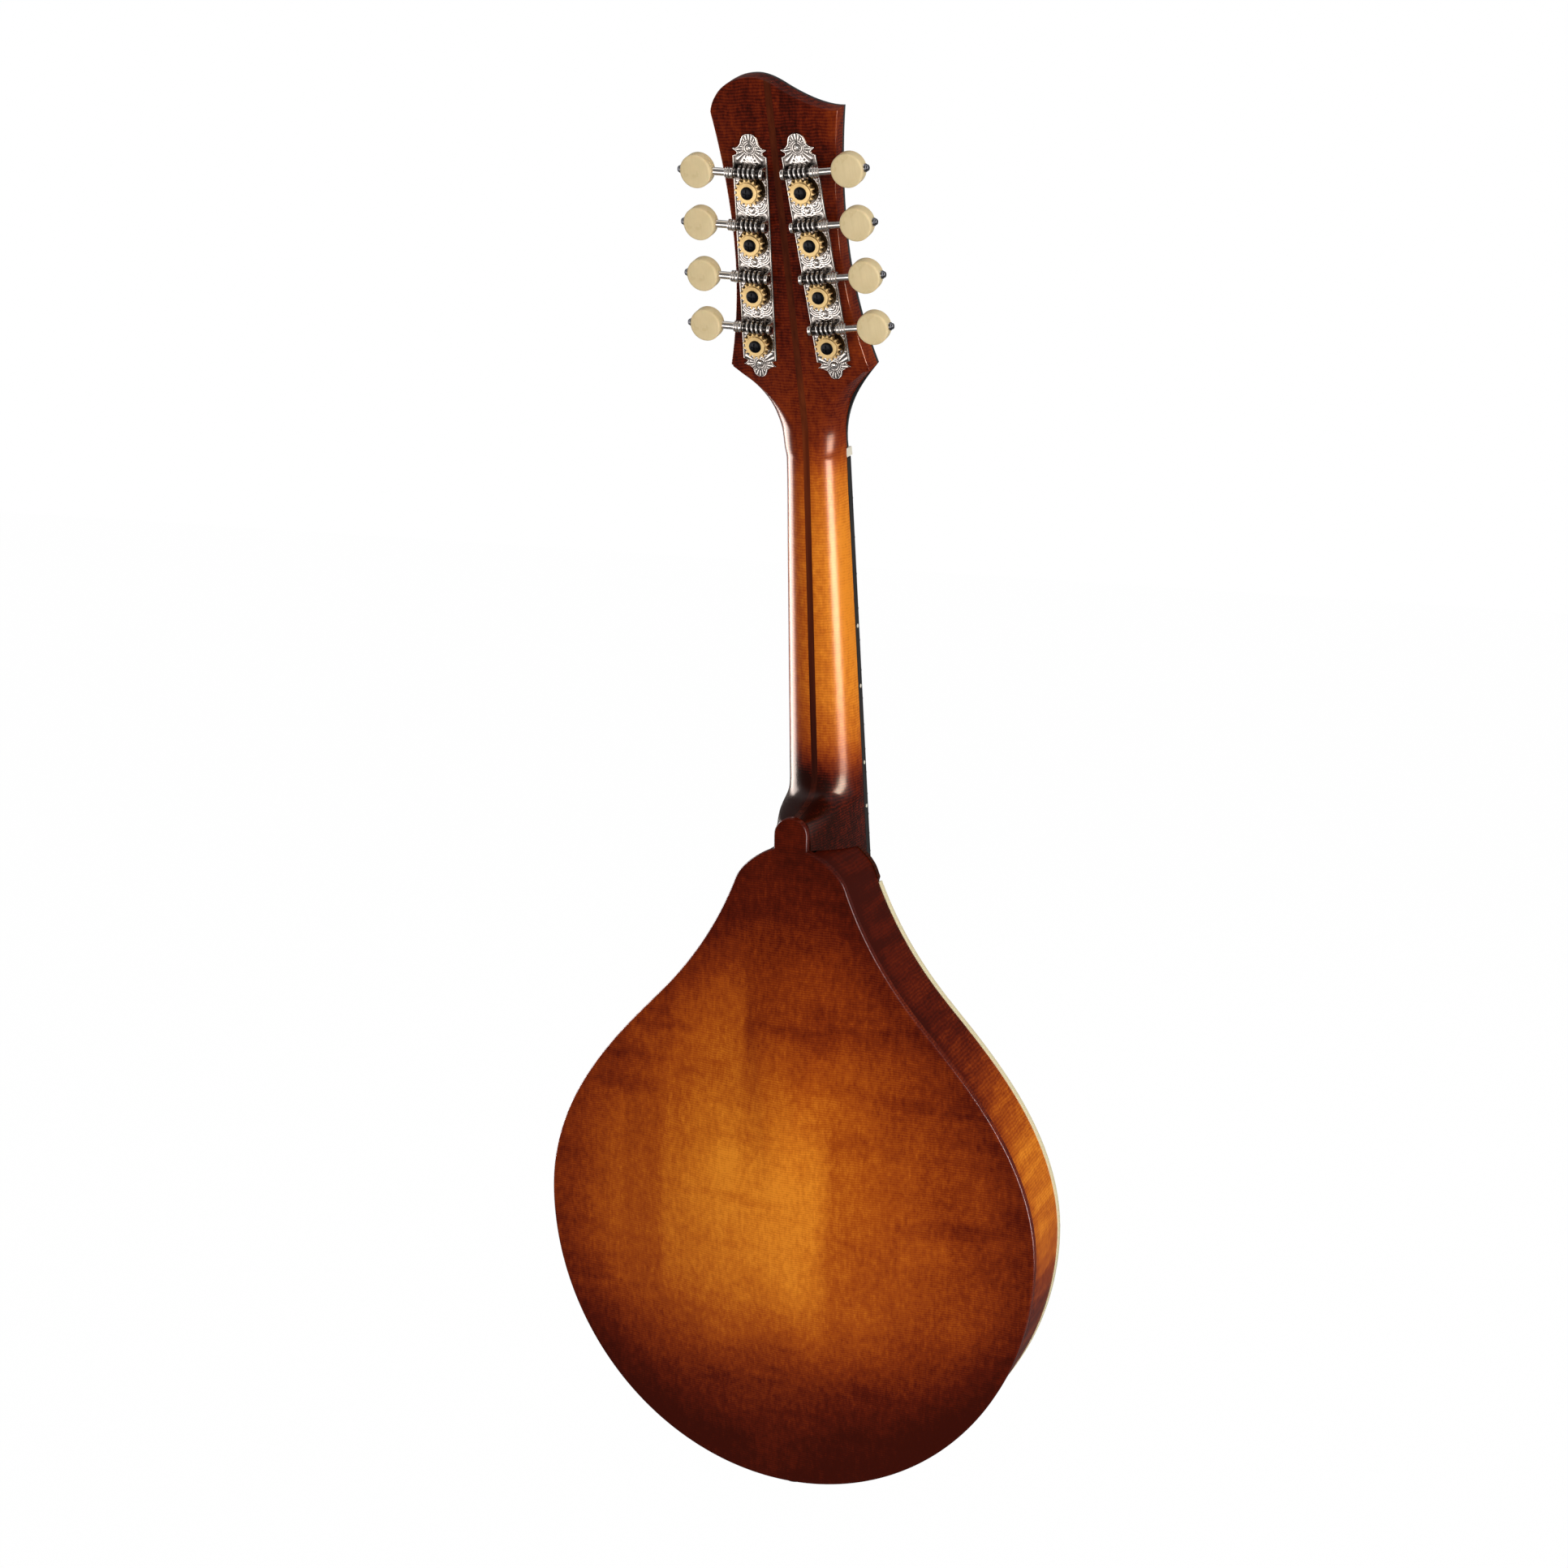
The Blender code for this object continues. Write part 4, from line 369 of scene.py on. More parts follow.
def neck_maple():
    finish = lacquered("lacquered_neck_maple", 0.24, 1.24)
    x, _, z = finish.axes
    along = finish.ease(z, -0.175, 0.10)
    stops = ((0.0, 0.0), (0.015, 0.03), (0.030, 0.20), (0.060, 0.52), (0.14, 0.68))
    stops += ((0.50, 0.76), (0.66, 0.60), (0.74, 0.32), (0.84, 0.25), (1.0, 0.19))
    level = finish.levels(along, *stops)
    # Painted light: the neck's bass side lighter and its treble side darker, as a lamp on the bass side would
    # make them.
    painted_bass_side_light = finish.ease(x, -0.016, 0.012, 0.22, -0.08)
    painted_light_on_neck = finish.times(painted_bass_side_light, finish.ease(z, -0.012, 0.020, 1.0, 0.0))
    level = finish.plus(level, painted_light_on_neck)
    clouds = finish.noise(30.0, (1, 1, 0.4), 3.0)
    level = finish.scaled(clouds, 0.18, level)
    streaks = finish.noise(95.0, (1, 1, 0.2), 4.0, 0.6)
    level = finish.scaled(streaks, 0.26, level)
    on_head = finish.ease(z, 0.035, 0.055)
    # Painted light: the headstock's bass edge lighter, as the lamp on that side would light it.
    painted_head_edge_light = finish.times(finish.ease(x, -0.034, -0.019, 0.20, 0.0), on_head)
    blotches = finish.noise(55.0, (1, 1, 0.45), 3.0, 0.6)
    level = finish.scaled(finish.times(blotches, on_head), 0.36, finish.plus(level, painted_head_edge_light))
    level = finish.less(finish.scaled(on_head, -0.21, level), 0.22)
    heel = finish.ease(z, -0.158, -0.140, -0.16, 0.0)
    level = finish.plus(level, heel)
    stops = ((0.0, HEEL_SHADE), (0.10, SUNBURST[0][1]), *SUNBURST[1:])
    return figured(finish, level, stops, (1, 1, 0.04), 240.0)


def dark_stripe():
    finish = lacquered("dark_laminated_stripe", 0.24, 1.24)
    streaks = finish.noise(420.0, (1, 1, 0.04), 3.0)
    shade = finish.ease(finish.axes[2], -0.150, 0.055, 0.0, 1.0)
    near = finish.ramp(streaks, ((0.3, (0.10, 0.014, 0.002)), (0.7, (0.19, 0.034, 0.005))))
    far = finish.ramp(streaks, ((0.3, (0.022, 0.003, 0.001)), (0.7, (0.055, 0.007, 0.002))))
    middle = finish.times(shade, finish.ease(finish.axes[2], 0.0, 0.05, 1.0, 0.35))
    finish.set(Base_Color=finish.blend(middle, far, near))
    finish.bumped(streaks, 0.00002)
    return finish.material


def plain_wood(name, light, dark, roughness, bump=0.00005, **more):
    finish = Finish(name, Roughness=roughness, **more)
    grain = finish.noise(380.0, (1, 1, 0.05), 4.0, 0.6)
    rings = finish.noise(60.0, (1, 1, 0.10), 3.0)
    mixed = finish.scaled(grain, 0.6, finish.times(rings, 0.4))
    finish.set(Base_Color=finish.ramp(mixed, ((0.34, dark), (0.66, light))))
    finish.bumped(grain, bump)
    return finish.material


def pale(name, light, dark, roughness, lines=0.0):
    """Ivoroid and bone: faint straight grain, soft mottling and a waxy gloss."""
    finish = Finish(
        name,
        Specular_IOR_Level=0.45,
        Subsurface_Weight=0.06,
        Subsurface_Scale=0.002,
        Coat_Weight=0.15,
        Coat_Roughness=0.12,
    )
    mottle = finish.noise(140.0, (1, 1, 1), 3.0)
    streak = finish.noise(1200.0, (1, 0.15, 0.10), 2.0)
    mixed = finish.scaled(streak, lines, finish.times(mottle, 1 - lines))
    finish.set(Base_Color=finish.ramp(mixed, ((0.30, dark), (0.70, light))))
    finish.set(Roughness=finish.ease(mottle, 0.3, 0.7, roughness * 0.85, roughness * 1.2))
    finish.bumped(streak, 0.00001)
    return finish.material


def metal(name, light, dark, roughness, engraved=False, worn=0.35, scale=700.0, threaded=False):
    """Plated metal: brushed hairlines, faint tarnish, dark patina in the ground of its engraving, and painted
    shade in the roots of its thread.
    """
    finish = Finish(name, Metallic=1.0)
    cloud = finish.noise(260.0, (1, 1, 1), 4.0)
    hair = finish.noise(scale * 4, (1, 1, 0.05), 2.0)
    tone = finish.blend(finish.ease(cloud, 0.35, 0.75, 0.0, worn), light, dark)
    if engraved:
        relief = finish.attribute("relief")
        tone = finish.blend(finish.ease(relief, 0.05, 0.85, 0.86, 0.0), tone, (0.055, 0.040, 0.034))
    if threaded:
        # Painted shade: the thread darkened towards its roots along the threaded stretch.
        along, y, z = finish.axes
        square = finish.scaled(y, y, finish.times(z, z))
        depth = finish.ease(finish.calc("POWER", square, 0.5), WORM_ROOT, WORM_RADIUS - 0.0003, 0.95, 0.0)
        on_thread = finish.ease(along, 0.0052, 0.0056, 1.0, 0.0)
        tone = finish.blend(finish.times(depth, on_thread), tone, (0.045, 0.036, 0.032))
    finish.set(Base_Color=tone)
    rough = finish.scaled(cloud, roughness * 0.8, roughness * 0.6)
    finish.set(Roughness=finish.scaled(hair, roughness * 0.25, rough))
    finish.bumped(hair, 0.000004)
    finish.material["metal"] = True
    return finish.material


def wound_wire():
    finish = Finish("wound_wire", Metallic=1.0, Roughness=0.28)
    wave = finish.bands("Z", 1200.0)
    finish.set(Base_Color=finish.ramp(wave, ((0.1, (0.22, 0.13, 0.06)), (0.7, (0.70, 0.48, 0.26)))))
    finish.bumped(wave, 0.00005)
    finish.material["metal"] = True
    return finish.material


BACK = back_maple()
SIDE = side_maple()
TOP = top_spruce()
NECK_WOOD = neck_maple()
STRIPE = dark_stripe()
EBONY = plain_wood("ebony", (0.020, 0.016, 0.014), (0.007, 0.006, 0.006), 0.34, Specular_IOR_Level=0.4)
LACQUERED = plain_wood("lacquered_overlay", (0.012, 0.010, 0.010), (0.005,) * 3, 0.16, Coat_Weight=0.4)
INNER = plain_wood("bare_inner_wood", (0.62, 0.42, 0.23), (0.40, 0.25, 0.12), 0.62, bump=0.0001)
INNER_SPRUCE = plain_wood("bare_inner_spruce", (0.66, 0.48, 0.27), (0.46, 0.30, 0.14), 0.66, bump=0.0001)
BINDING = pale("ivoroid_binding", (0.80, 0.70, 0.44), (0.75, 0.65, 0.40), 0.26, 0.2)
IVORY = pale("ivoroid_buttons", (0.76, 0.605, 0.345), (0.65, 0.505, 0.270), 0.30, 0.3)
BONE = pale("bone", (0.84, 0.79, 0.66), (0.70, 0.64, 0.50), 0.34, 0.5)
PEARL = pale("pearl_dots", (0.86, 0.86, 0.84), (0.62, 0.66, 0.68), 0.16, 0.2)
PLATED = metal("engraved_nickel", (0.86, 0.80, 0.75), (0.56, 0.49, 0.44), 0.20, True)
NICKEL = metal("nickel", (0.80, 0.75, 0.71), (0.50, 0.45, 0.41), 0.17)
THREAD_SHADED_NICKEL = metal("nickel_with_painted_thread_shade", (0.80, 0.75, 0.71), (0.50, 0.45, 0.41), 0.17, threaded=True)
POLISHED = metal("polished_nickel", (0.82, 0.78, 0.74), (0.66, 0.61, 0.56), 0.13, worn=0.12, scale=240.0)
FRET_WIRE = metal("fret_wire", (0.80, 0.78, 0.74), (0.60, 0.57, 0.53), 0.22)
DARK_CHROME = metal("dark_chrome", (0.20, 0.20, 0.22), (0.07, 0.07, 0.08), 0.22)
BLACK_STEEL = metal("black_steel", (0.020, 0.020, 0.022), (0.008, 0.008, 0.009), 0.30)
BRASS = metal("brass", (0.84, 0.60, 0.28), (0.56, 0.36, 0.14), 0.40)
STEEL = metal("steel", (0.66, 0.66, 0.66), (0.44, 0.44, 0.45), 0.24)
WOUND = wound_wire()


# Mesh helpers
def set_out(name, data):
    """A new object in the scene."""
    obj = bpy.data.objects.new(name, data)
    bpy.context.scene.collection.objects.link(obj)
    return obj


def mirrored(points):
    return [vec(-point.x, point.y) for point in reversed(points)]


def built(points, faces):
    work = bmesh.new()
    made = [work.verts.new(point) for point in points]
    for face in faces:
        work.faces.new([made[i] for i in face])
    bmesh.ops.recalc_face_normals(work, faces=work.faces)
    mesh = bpy.data.meshes.new("built")
    work.to_mesh(mesh)
    work.free()
    return mesh


def loft(rings, start=None, end=None, closed=False):
    """Rings of equal count joined in order; each end is capped, or drawn to a tip where one is given."""
    count = len(rings[0])
    points = [tuple(point) for ring in rings for point in ring]
    faces = []
    pairs = [(r, r + 1) for r in range(len(rings) - 1)]
    if closed:
        pairs.append((len(rings) - 1, 0))
    for low, high in pairs:
        for i in range(count):
            j = (i + 1) % count
            faces.append((low * count + i, low * count + j, high * count + j, high * count + i))
    if closed:
        return built(points, faces)
    for tip, first in ((start, 0), (end, (len(rings) - 1) * count)):
        ring = list(range(first, first + count))
        if tip is None:
            faces.append(ring)
            continue
        points.append(tuple(tip))
        for i in range(count):
            faces.append((ring[i], ring[(i + 1) % count], len(points) - 1))
    return built(points, faces)


def lathe(profile, steps, axis="Z"):
    """A profile of (radius, height), spun about the axis; a radius of nought at an end closes it."""
    turn = {"Z": Matrix.Identity(4), "X": about("Y", pi / 2), "Y": about("X", -pi / 2)}[axis]
    start = end = None
    looped = profile[0] == profile[-1]
    if looped:
        profile = profile[:-1]
    if profile[0][0] == 0:
        start = turn @ vec(0, 0, profile[0][1])
        profile = profile[1:]
    if profile[-1][0] == 0:
        end = turn @ vec(0, 0, profile[-1][1])
        profile = profile[:-1]
    rings = []
    for radius, height in profile:
        angles = [2 * pi * i / steps for i in range(steps)]
        rings.append([turn @ vec(radius * cos(a), radius * sin(a), height) for a in angles])
    return loft(rings, start, end, looped)


def rod(radius, low, high, steps, axis):
    return lathe([(0, low), (radius, low), (radius, high), (0, high)], steps, axis)


def filleted(points, size, steps=3):
    """An open line whose inner corners are rounded off by up to the size."""
    points = [Vector(point) for point in points]
    kept = [points[0]]
    for before, corner, after in zip(points, points[1:], points[2:]):
        reach = min(size, 0.45 * (corner - before).length, 0.45 * (after - corner).length)
        a = corner + (before - corner).normalized() * reach
        b = corner + (after - corner).normalized() * reach
        for i in range(steps + 1):
            t = i / steps
            kept.append((1 - t) ** 2 * a + 2 * t * (1 - t) * corner + t * t * b)
    return [tuple(point) for point in kept + [points[-1]]]


def inset_loop(loop, amount):
    """A closed outline moved inwards along its vertex normals."""
    points = np.array([tuple(point) for point in loop])
    along = np.roll(points, -1, 0) - np.roll(points, 1, 0)
    along /= np.linalg.norm(along, axis=1, keepdims=True) + 1e-12
    area = np.sum(points[:, 0] * np.roll(points[:, 1], -1) - np.roll(points[:, 0], -1) * points[:, 1])
    inward = np.stack([-along[:, 1], along[:, 0]], 1) * np.sign(area)
    return points + inward * amount


def slab(loop, low, high, round_low=0.0, round_high=0.0, axis="Y", steps=3):
    """An outline extruded along an axis, with either end's edge rounded."""
    levels = []
    for i in range(steps + 1 if round_low else 1):
        angle = pi / 2 * i / steps
        levels.append((round_low * (1 - sin(angle)), low + round_low * (1 - cos(angle))))
    for i in range(steps + 1 if round_high else 1):
        angle = pi / 2 * (1 - i / steps)
        levels.append((round_high * (1 - sin(angle)), high - round_high * (1 - cos(angle))))
    rings = []
    for inset, height in levels:
        ring = inset_loop(loop, inset)
        rings.append([np.insert(point, "XYZ".index(axis), height) for point in ring])
    return loft(rings)


def block(low, high):
    (x0, y0, z0), (x1, y1, z1) = low, high
    return loft([[(x0, y0, z), (x1, y0, z), (x1, y1, z), (x0, y1, z)] for z in (z0, z1)])


def moved(mesh, place):
    copy = mesh.copy()
    copy.transform(place)
    return copy


def merged(meshes):
    work = bmesh.new()
    for mesh in meshes:
        work.from_mesh(mesh)
    joined = bpy.data.meshes.new("merged")
    work.to_mesh(joined)
    work.free()
    return joined


def combine(mesh, *operands, how="DIFFERENCE"):
    """The mesh after each operand is cut from it, joined to it or kept from it."""
    made = [set_out("operand", each) for each in (mesh, *operands)]
    for operand in made[1:]:
        modifier = made[0].modifiers.new("shape", "BOOLEAN")
        modifier.operation = how
        modifier.solver = "MANIFOLD"
        modifier.object = operand
    bpy.context.view_layer.update()
    graph = bpy.context.evaluated_depsgraph_get()
    result = bpy.data.meshes.new_from_object(made[0].evaluated_get(graph))
    for each in made:
        bpy.data.objects.remove(each)
    return result


def piece(name, mesh, place, material, body=ROOT, replaces=(), sharp=35):
    """Sets a finished mesh in its frame, on its body, with its finish."""
    mesh.name = name
    obj = set_out(name, mesh)
    obj.matrix_world = place
    if not any(mesh.materials):
        mesh.materials.clear()
        mesh.materials.append(material)
    mesh.shade_smooth()
    mesh.set_sharp_from_angle(angle=radians(sharp))
    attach(obj, body)
    if replaces:
        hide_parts(*replaces)
    return obj


def refinish(material, names, bevel=0.0):
    """A carried-over solid gets its finish and, where its edges are eased, a bevel."""
    for name in names:
        obj = frame["nodes"][name]
        obj.material_slots[0].material = material
        if bevel:
            modifier = obj.modifiers.new("eased_edges", "BEVEL")
            modifier.width = bevel
            modifier.segments = 2
            modifier.limit_method = "ANGLE"
            modifier.angle_limit = radians(30)


def float_attribute(mesh, name, values):
    attribute = mesh.attributes.new(name, "FLOAT", "POINT")
    attribute.data.foreach_set("value", np.asarray(values, np.float32))


def corners(mesh):
    points = np.empty(len(mesh.vertices) * 3)
    mesh.vertices.foreach_get("co", points)
    return points.reshape(-1, 3)


def bezier(a, b, c, d, count):
    """count points of a cubic curve, its end left out."""
    a, b, c, d = (Vector(point) for point in (a, b, c, d))
    points = []
    for i in range(count):
        t = i / count
        s = 1 - t
        points.append(s**3 * a + 3 * s * s * t * b + 3 * s * t * t * c + t**3 * d)
    return points


def monotone(places, values, at):
    """Smooth interpolation between stations that never overshoots them."""
    places = np.asarray(places, float)
    values = np.asarray(values, float)
    flat = values.reshape(len(places), -1)
    step = np.diff(places)[:, None]
    slope = np.diff(flat, axis=0) / step
    tangent = np.zeros_like(flat)
    product = slope[:-1] * slope[1:]
    inner = np.where(product > 0, 2 * product / np.where(product > 0, slope[:-1] + slope[1:], 1), 0)
    tangent[1:-1] = inner
    tangent[0], tangent[-1] = slope[0], slope[-1]
    at = np.asarray(at, float)
    index = np.clip(np.searchsorted(places, at) - 1, 0, len(places) - 2)
    width = step[index]
    t = ((at - places[index]) / width[:, 0])[:, None]
    result = (2 * t**3 - 3 * t**2 + 1) * flat[index] + (t**3 - 2 * t**2 + t) * width * tangent[index]
    result += (3 * t**2 - 2 * t**3) * flat[index + 1] + (t**3 - t**2) * width * tangent[index + 1]
    return result.reshape(len(at), *values.shape[1:])


# Body
def lean(angle):
    return vec(-sin(angle), cos(angle))


def half_outline():
    """The treble half of the rim, from the tail's centre line to the neck's."""
    widest = vec(HALF_WIDTH, WIDEST)
    flank, flank_lean = vec(0.0634, 0.1149 + WIDEST), lean(0.73)
    shoulder, shoulder_lean = vec(0.0279, 0.1729 + WIDEST), lean(0.36)
    crown = vec(0, CROWN)
    points = []
    for i in range(54):
        angle = pi / 2 * i / 54
        points.append(vec(HALF_WIDTH * sin(angle), WIDEST - TAIL_DROP * cos(angle)))
    points += bezier(widest, widest + vec(0, 0.0543), flank - flank_lean * 0.030, flank, 30)
    points += bezier(flank, flank + flank_lean * 0.030, shoulder - shoulder_lean * 0.0153, shoulder, 24)
    points += bezier(shoulder, shoulder + shoulder_lean * 0.00765, crown + vec(0.0125, 0), crown, 14)
    return points + [crown]


RIM = half_outline()


def inset_half(inset):
    moved_points = []
    for i, point in enumerate(RIM):
        before = RIM[i - 1] if i else vec(-RIM[1].x, RIM[1].y)
        after = RIM[i + 1] if i + 1 < len(RIM) else vec(-RIM[-2].x, RIM[-2].y)
        along = (after - before).normalized()
        amount = inset(point) if callable(inset) else inset
        moved_points.append(point + vec(-along.y, along.x) * amount)
    return moved_points


def whole(half):
    return half + mirrored(half[1:-1])


CENTRE = np.array((0.0, ARCH_CENTRE))


def rim_shares(points):
    """How far each point lies from the arch's centre towards the rim, as a share."""
    rim = np.array([tuple(point) for point in whole(RIM)]) - CENTRE
    angle = np.arctan2(rim[:, 0], rim[:, 1])
    order = np.argsort(angle)
    ray = points - CENTRE
    reach = np.interp(np.arctan2(ray[:, 0], ray[:, 1]), angle[order], np.hypot(*rim.T)[order], period=2 * pi)
    return np.hypot(*ray.T) / reach


def carve(share, arch):
    return np.where(share >= ARCH_MARGIN, 0.0, arch * 0.5 * (1 + np.cos(np.pi * share / ARCH_MARGIN)))


def carved_plate(half, face, inner, sign, arch, edge):
    """A carved shell with a rounded edge: sign is the way it arches."""
    loop = np.array([tuple(point) for point in whole(half)])

    def ring(share, height, inset=0.0):
        points = CENTRE + ((inset_loop(loop, inset) if inset else loop) - CENTRE) * share
        return [(x, height, z) for x, z in points]

    rings = []
    for share in (0.12, 0.30, 0.50, 0.70, 0.84, 0.93):
        thickness = PLATE_CROWN + (PLATE_EDGE - PLATE_CROWN) * share
        rings.append(ring(share, face + sign * (float(carve(share, arch)) - thickness)))
    rings.append(ring(1, inner))
    for i in range(6):
        angle = pi / 2 * i / 5
        rings.append(ring(1, face - sign * edge * (1 - sin(angle)), edge * (1 - cos(angle))))
    for share in np.concatenate([np.linspace(0.975, 0.90, 5), np.linspace(0.87, 0.05, 27)]):
        rings.append(ring(share, face + sign * float(carve(share, arch))))
    crown = face + sign * arch
    return loft(rings, (0, crown - sign * PLATE_CROWN, ARCH_CENTRE), (0, crown, ARCH_CENTRE))


def heel_button():
    tip = NECK_JOINT + BUTTON_RISE - BUTTON_HALF
    right = [vec(BUTTON_HALF * 1.25, NECK_JOINT - BUTTON_ROOT), vec(BUTTON_HALF * 1.08, NECK_JOINT - 0.0015)]
    right.append(vec(BUTTON_HALF, NECK_JOINT + 0.0025))
    for i in range(29):
        angle = pi * i / 28
        right.append(vec(BUTTON_HALF * cos(angle), tip + BUTTON_HALF * sin(angle)))
    low, high = BODY_DEPTH - PLATE_EDGE + 0.00005, BODY_DEPTH - 0.00002
    return slab(right + mirrored(right[:3]), low, high, 0.0, 0.0008)


def sound_hole(side):
    eye_top, eye_foot = vec(0.0330, 0.0440), vec(0.0610, -0.0200)
    top, foot, rise = vec(0.0450, 0.0340), vec(0.0505, -0.0180), vec(0, 0.0150)
    spine = bezier(eye_top, eye_top + rise, top + rise, top, 14)
    spine += bezier(top, top - rise, foot + rise, foot, 12)
    spine += bezier(foot, foot - rise, eye_foot - rise, eye_foot, 14) + [eye_foot]
    left, right = [], []
    for i, point in enumerate(spine):
        along = spine[min(i + 1, len(spine) - 1)] - spine[max(i - 1, 0)]
        across = vec(-along.y, along.x).normalized()
        width = 0.0022 + 0.0032 * sin(pi * i / (len(spine) - 1)) ** 2
        left.append(point + across * width / 2)
        right.append(point - across * width / 2)
    depth = (-TOP_ARCH - PLATE_EDGE, 2 * PLATE_EDGE)
    cutters = [slab([vec(side * p.x, p.y) for p in left + list(reversed(right))], *depth)]
    for centre, radius in ((eye_top, 0.0036), (eye_foot, 0.0045)):
        cutters.append(moved(rod(radius, *depth, 36, "Y"), shift(side * centre.x, 0, centre.y)))
    return cutters


def shares_on(mesh):
    float_attribute(mesh, "share", np.clip(rim_shares(corners(mesh)[:, [0, 2]]), 0, 1.2))


def build_body():
    back = carved_plate(inset_half(0), BODY_DEPTH, BODY_DEPTH - PLATE_EDGE, 1, BACK_ARCH, 0.0011)
    back = combine(back, heel_button(), how="UNION")
    shares_on(back)
    piece("arched_back", back, BODY, BACK, replaces=["back_plate"], sharp=30)

    top_half = inset_half(lambda point: BINDING_WIDTH if point.y < BINDING_TOP else 0)
    top = carved_plate(top_half, 0, PLATE_EDGE, -1, TOP_ARCH, 0.0006)
    top = combine(top, *sound_hole(BASS), *sound_hole(TREBLE))
    shares_on(top)
    piece("arched_top", top, BODY, TOP, replaces=["top_plate"], sharp=30)

    outer, inner = inset_half(RIB_STEP), inset_half(RIB_THICKNESS)
    keep = [i for i, point in enumerate(RIM) if point.x > 0.0097 or point.y < 0.1]
    band = [outer[i] for i in keep] + [inner[i] for i in reversed(keep)]
    for side, label in SIDES:
        loop = [vec(side * point.x, point.y) for point in band]
        rib = slab(loop, PLATE_EDGE, BODY_DEPTH - PLATE_EDGE)
        piece(f"side_{label}", rib, BODY, SIDE, replaces=[f"rib_{label}"])

    edge = [point for point in inset_half(0) if point.y < BINDING_TOP]
    seat = inset_half(BINDING_WIDTH)[: len(edge)]
    band = mirrored(edge[1:]) + edge + list(reversed(mirrored(seat[1:]) + seat))
    binding = slab(band, 0, BINDING_HEIGHT, 0.0003, 0.0001)
    piece("edge_binding", binding, BODY, BINDING, replaces=["top_binding"])

    face = 0.0016
    profile = [(0, 0.0150), (0.0030, 0.0150), (0.0036, -face), (0.0060, -face), (0.0060, -face - 0.0012)]
    profile += [(0.0036, -face - 0.0022), (0.0034, -0.0055), (0.0038, -0.0069), (0.0062, -0.0083)]
    profile += [(0.0062, -0.0099), (0.0044, -0.0105), (0, -0.0105)]
    pin = lathe(filleted(profile, 0.0005), 56)
    place = BODY @ shift(0, BODY_DEPTH / 2, TAIL_Z)
    piece("turned_end_pin", pin, place, EBONY, replaces=["end_pin"])


# Neck and headstock
HEEL_STATIONS = (
    (0.035, 1.13, 1.0, 1.45),
    (0.021, 1.10, 1.0, 1.45),
    (0.008, 1.05, 1.0, 1.45),
    (0.001, 0.97, 1.0, 1.45),
    (-0.001, 0.74, 0.90, 1.5),
    (-0.003, 0.56, 0.78, 1.6),
    (-0.0055, 0.47, 0.60, 1.75),
    (-0.009, 0.42, 0.45, 1.9),
    (-0.014, 0.402, 0.38, 2.0),
)
FLARE_STATIONS = (
    (0.008, 0.0149, 0.0024, 0.0190, 1.9),
    (0.016, 0.0155, 0.0040, 0.0173, 1.75),
    (0.024, 0.0173, 0.0074, 0.0166, 1.7),
    (0.030, 0.0194, 0.0112, 0.0166, 1.7),
    (0.036, 0.0231, 0.0164, 0.0166, 1.6),
    (0.041, 0.0273, 0.0220, 0.0166, 1.5),
    (0.045, 0.0310, 0.0276, 0.0166, 1.5),
    (0.0484, 0.0329, 0.0320, 0.0166, 1.5),
)


def neck_half(distance):
    return NUT_HALF + NECK_TAPER * distance


def neck_ring(half, front, back, flat, sharpness, place):
    """A section from the fingerboard's plane round to a flat of the given half-width at the back."""
    power = 2 / sharpness
    side = []
    for i in range(15):
        angle = pi / 2 * i / 14
        across, deep = cos(angle) ** power, sin(angle) ** power
        side.append((flat + (half - flat) * across, front + (back - front) * deep))
    side[-1] = (flat, back)
    return [place @ vec(x, y, 0) for x, y in side + [(-x, y) for x, y in reversed(side)]]


def neck_blank():
    places, rings = [], []
    for beyond, share, flat_share, sharpness in HEEL_STATIONS:
        distance = HEEL_TIP + beyond
        place = shift(0, 0, -distance)
        flat = HEEL_FLAT * flat_share
        places.append(-distance)
        rings.append(neck_ring(neck_half(distance), GLUE_PLANE, HEEL_DEPTH * share, flat, sharpness, place))
    for distance in (0.140, 0.092, 0.046, 0.0):
        place = shift(0, 0, -distance)
        back = 0.0200 + 0.0130 * distance
        places.append(-distance)
        rings.append(neck_ring(neck_half(distance), GLUE_PLANE, back, 0.0016, 2.0, place))
    for along, half, flat, back, sharpness in FLARE_STATIONS:
        place = about("X", -HEAD_ANGLE) @ shift(0, 0, along)
        places.append(along)
        rings.append(neck_ring(half, GLUE_IN_HEAD, back - 0.00002, flat, sharpness, place))
    stations = np.array([[tuple(point) for point in ring] for ring in rings])
    at = np.concatenate(
        [
            np.linspace(places[0], -0.1760, 4),
            np.linspace(-0.1720, -0.1450, 40),
            np.linspace(-0.1410, -0.0040, 34),
            np.linspace(-0.0020, places[-1], 44),
        ]
    )
    return loft(monotone(places, stations, at))


def side_curve(corner, waist, count):
    points = []
    for i in range(count):
        share = 1 - i / count
        points.append(vec(waist.x + (corner.x - waist.x) * share**2, waist.y + (corner.y - waist.y) * share))
    return points


TREBLE_CORNER, BASS_CORNER = vec(0.0330, 0.0492), vec(-0.0340, 0.0478)


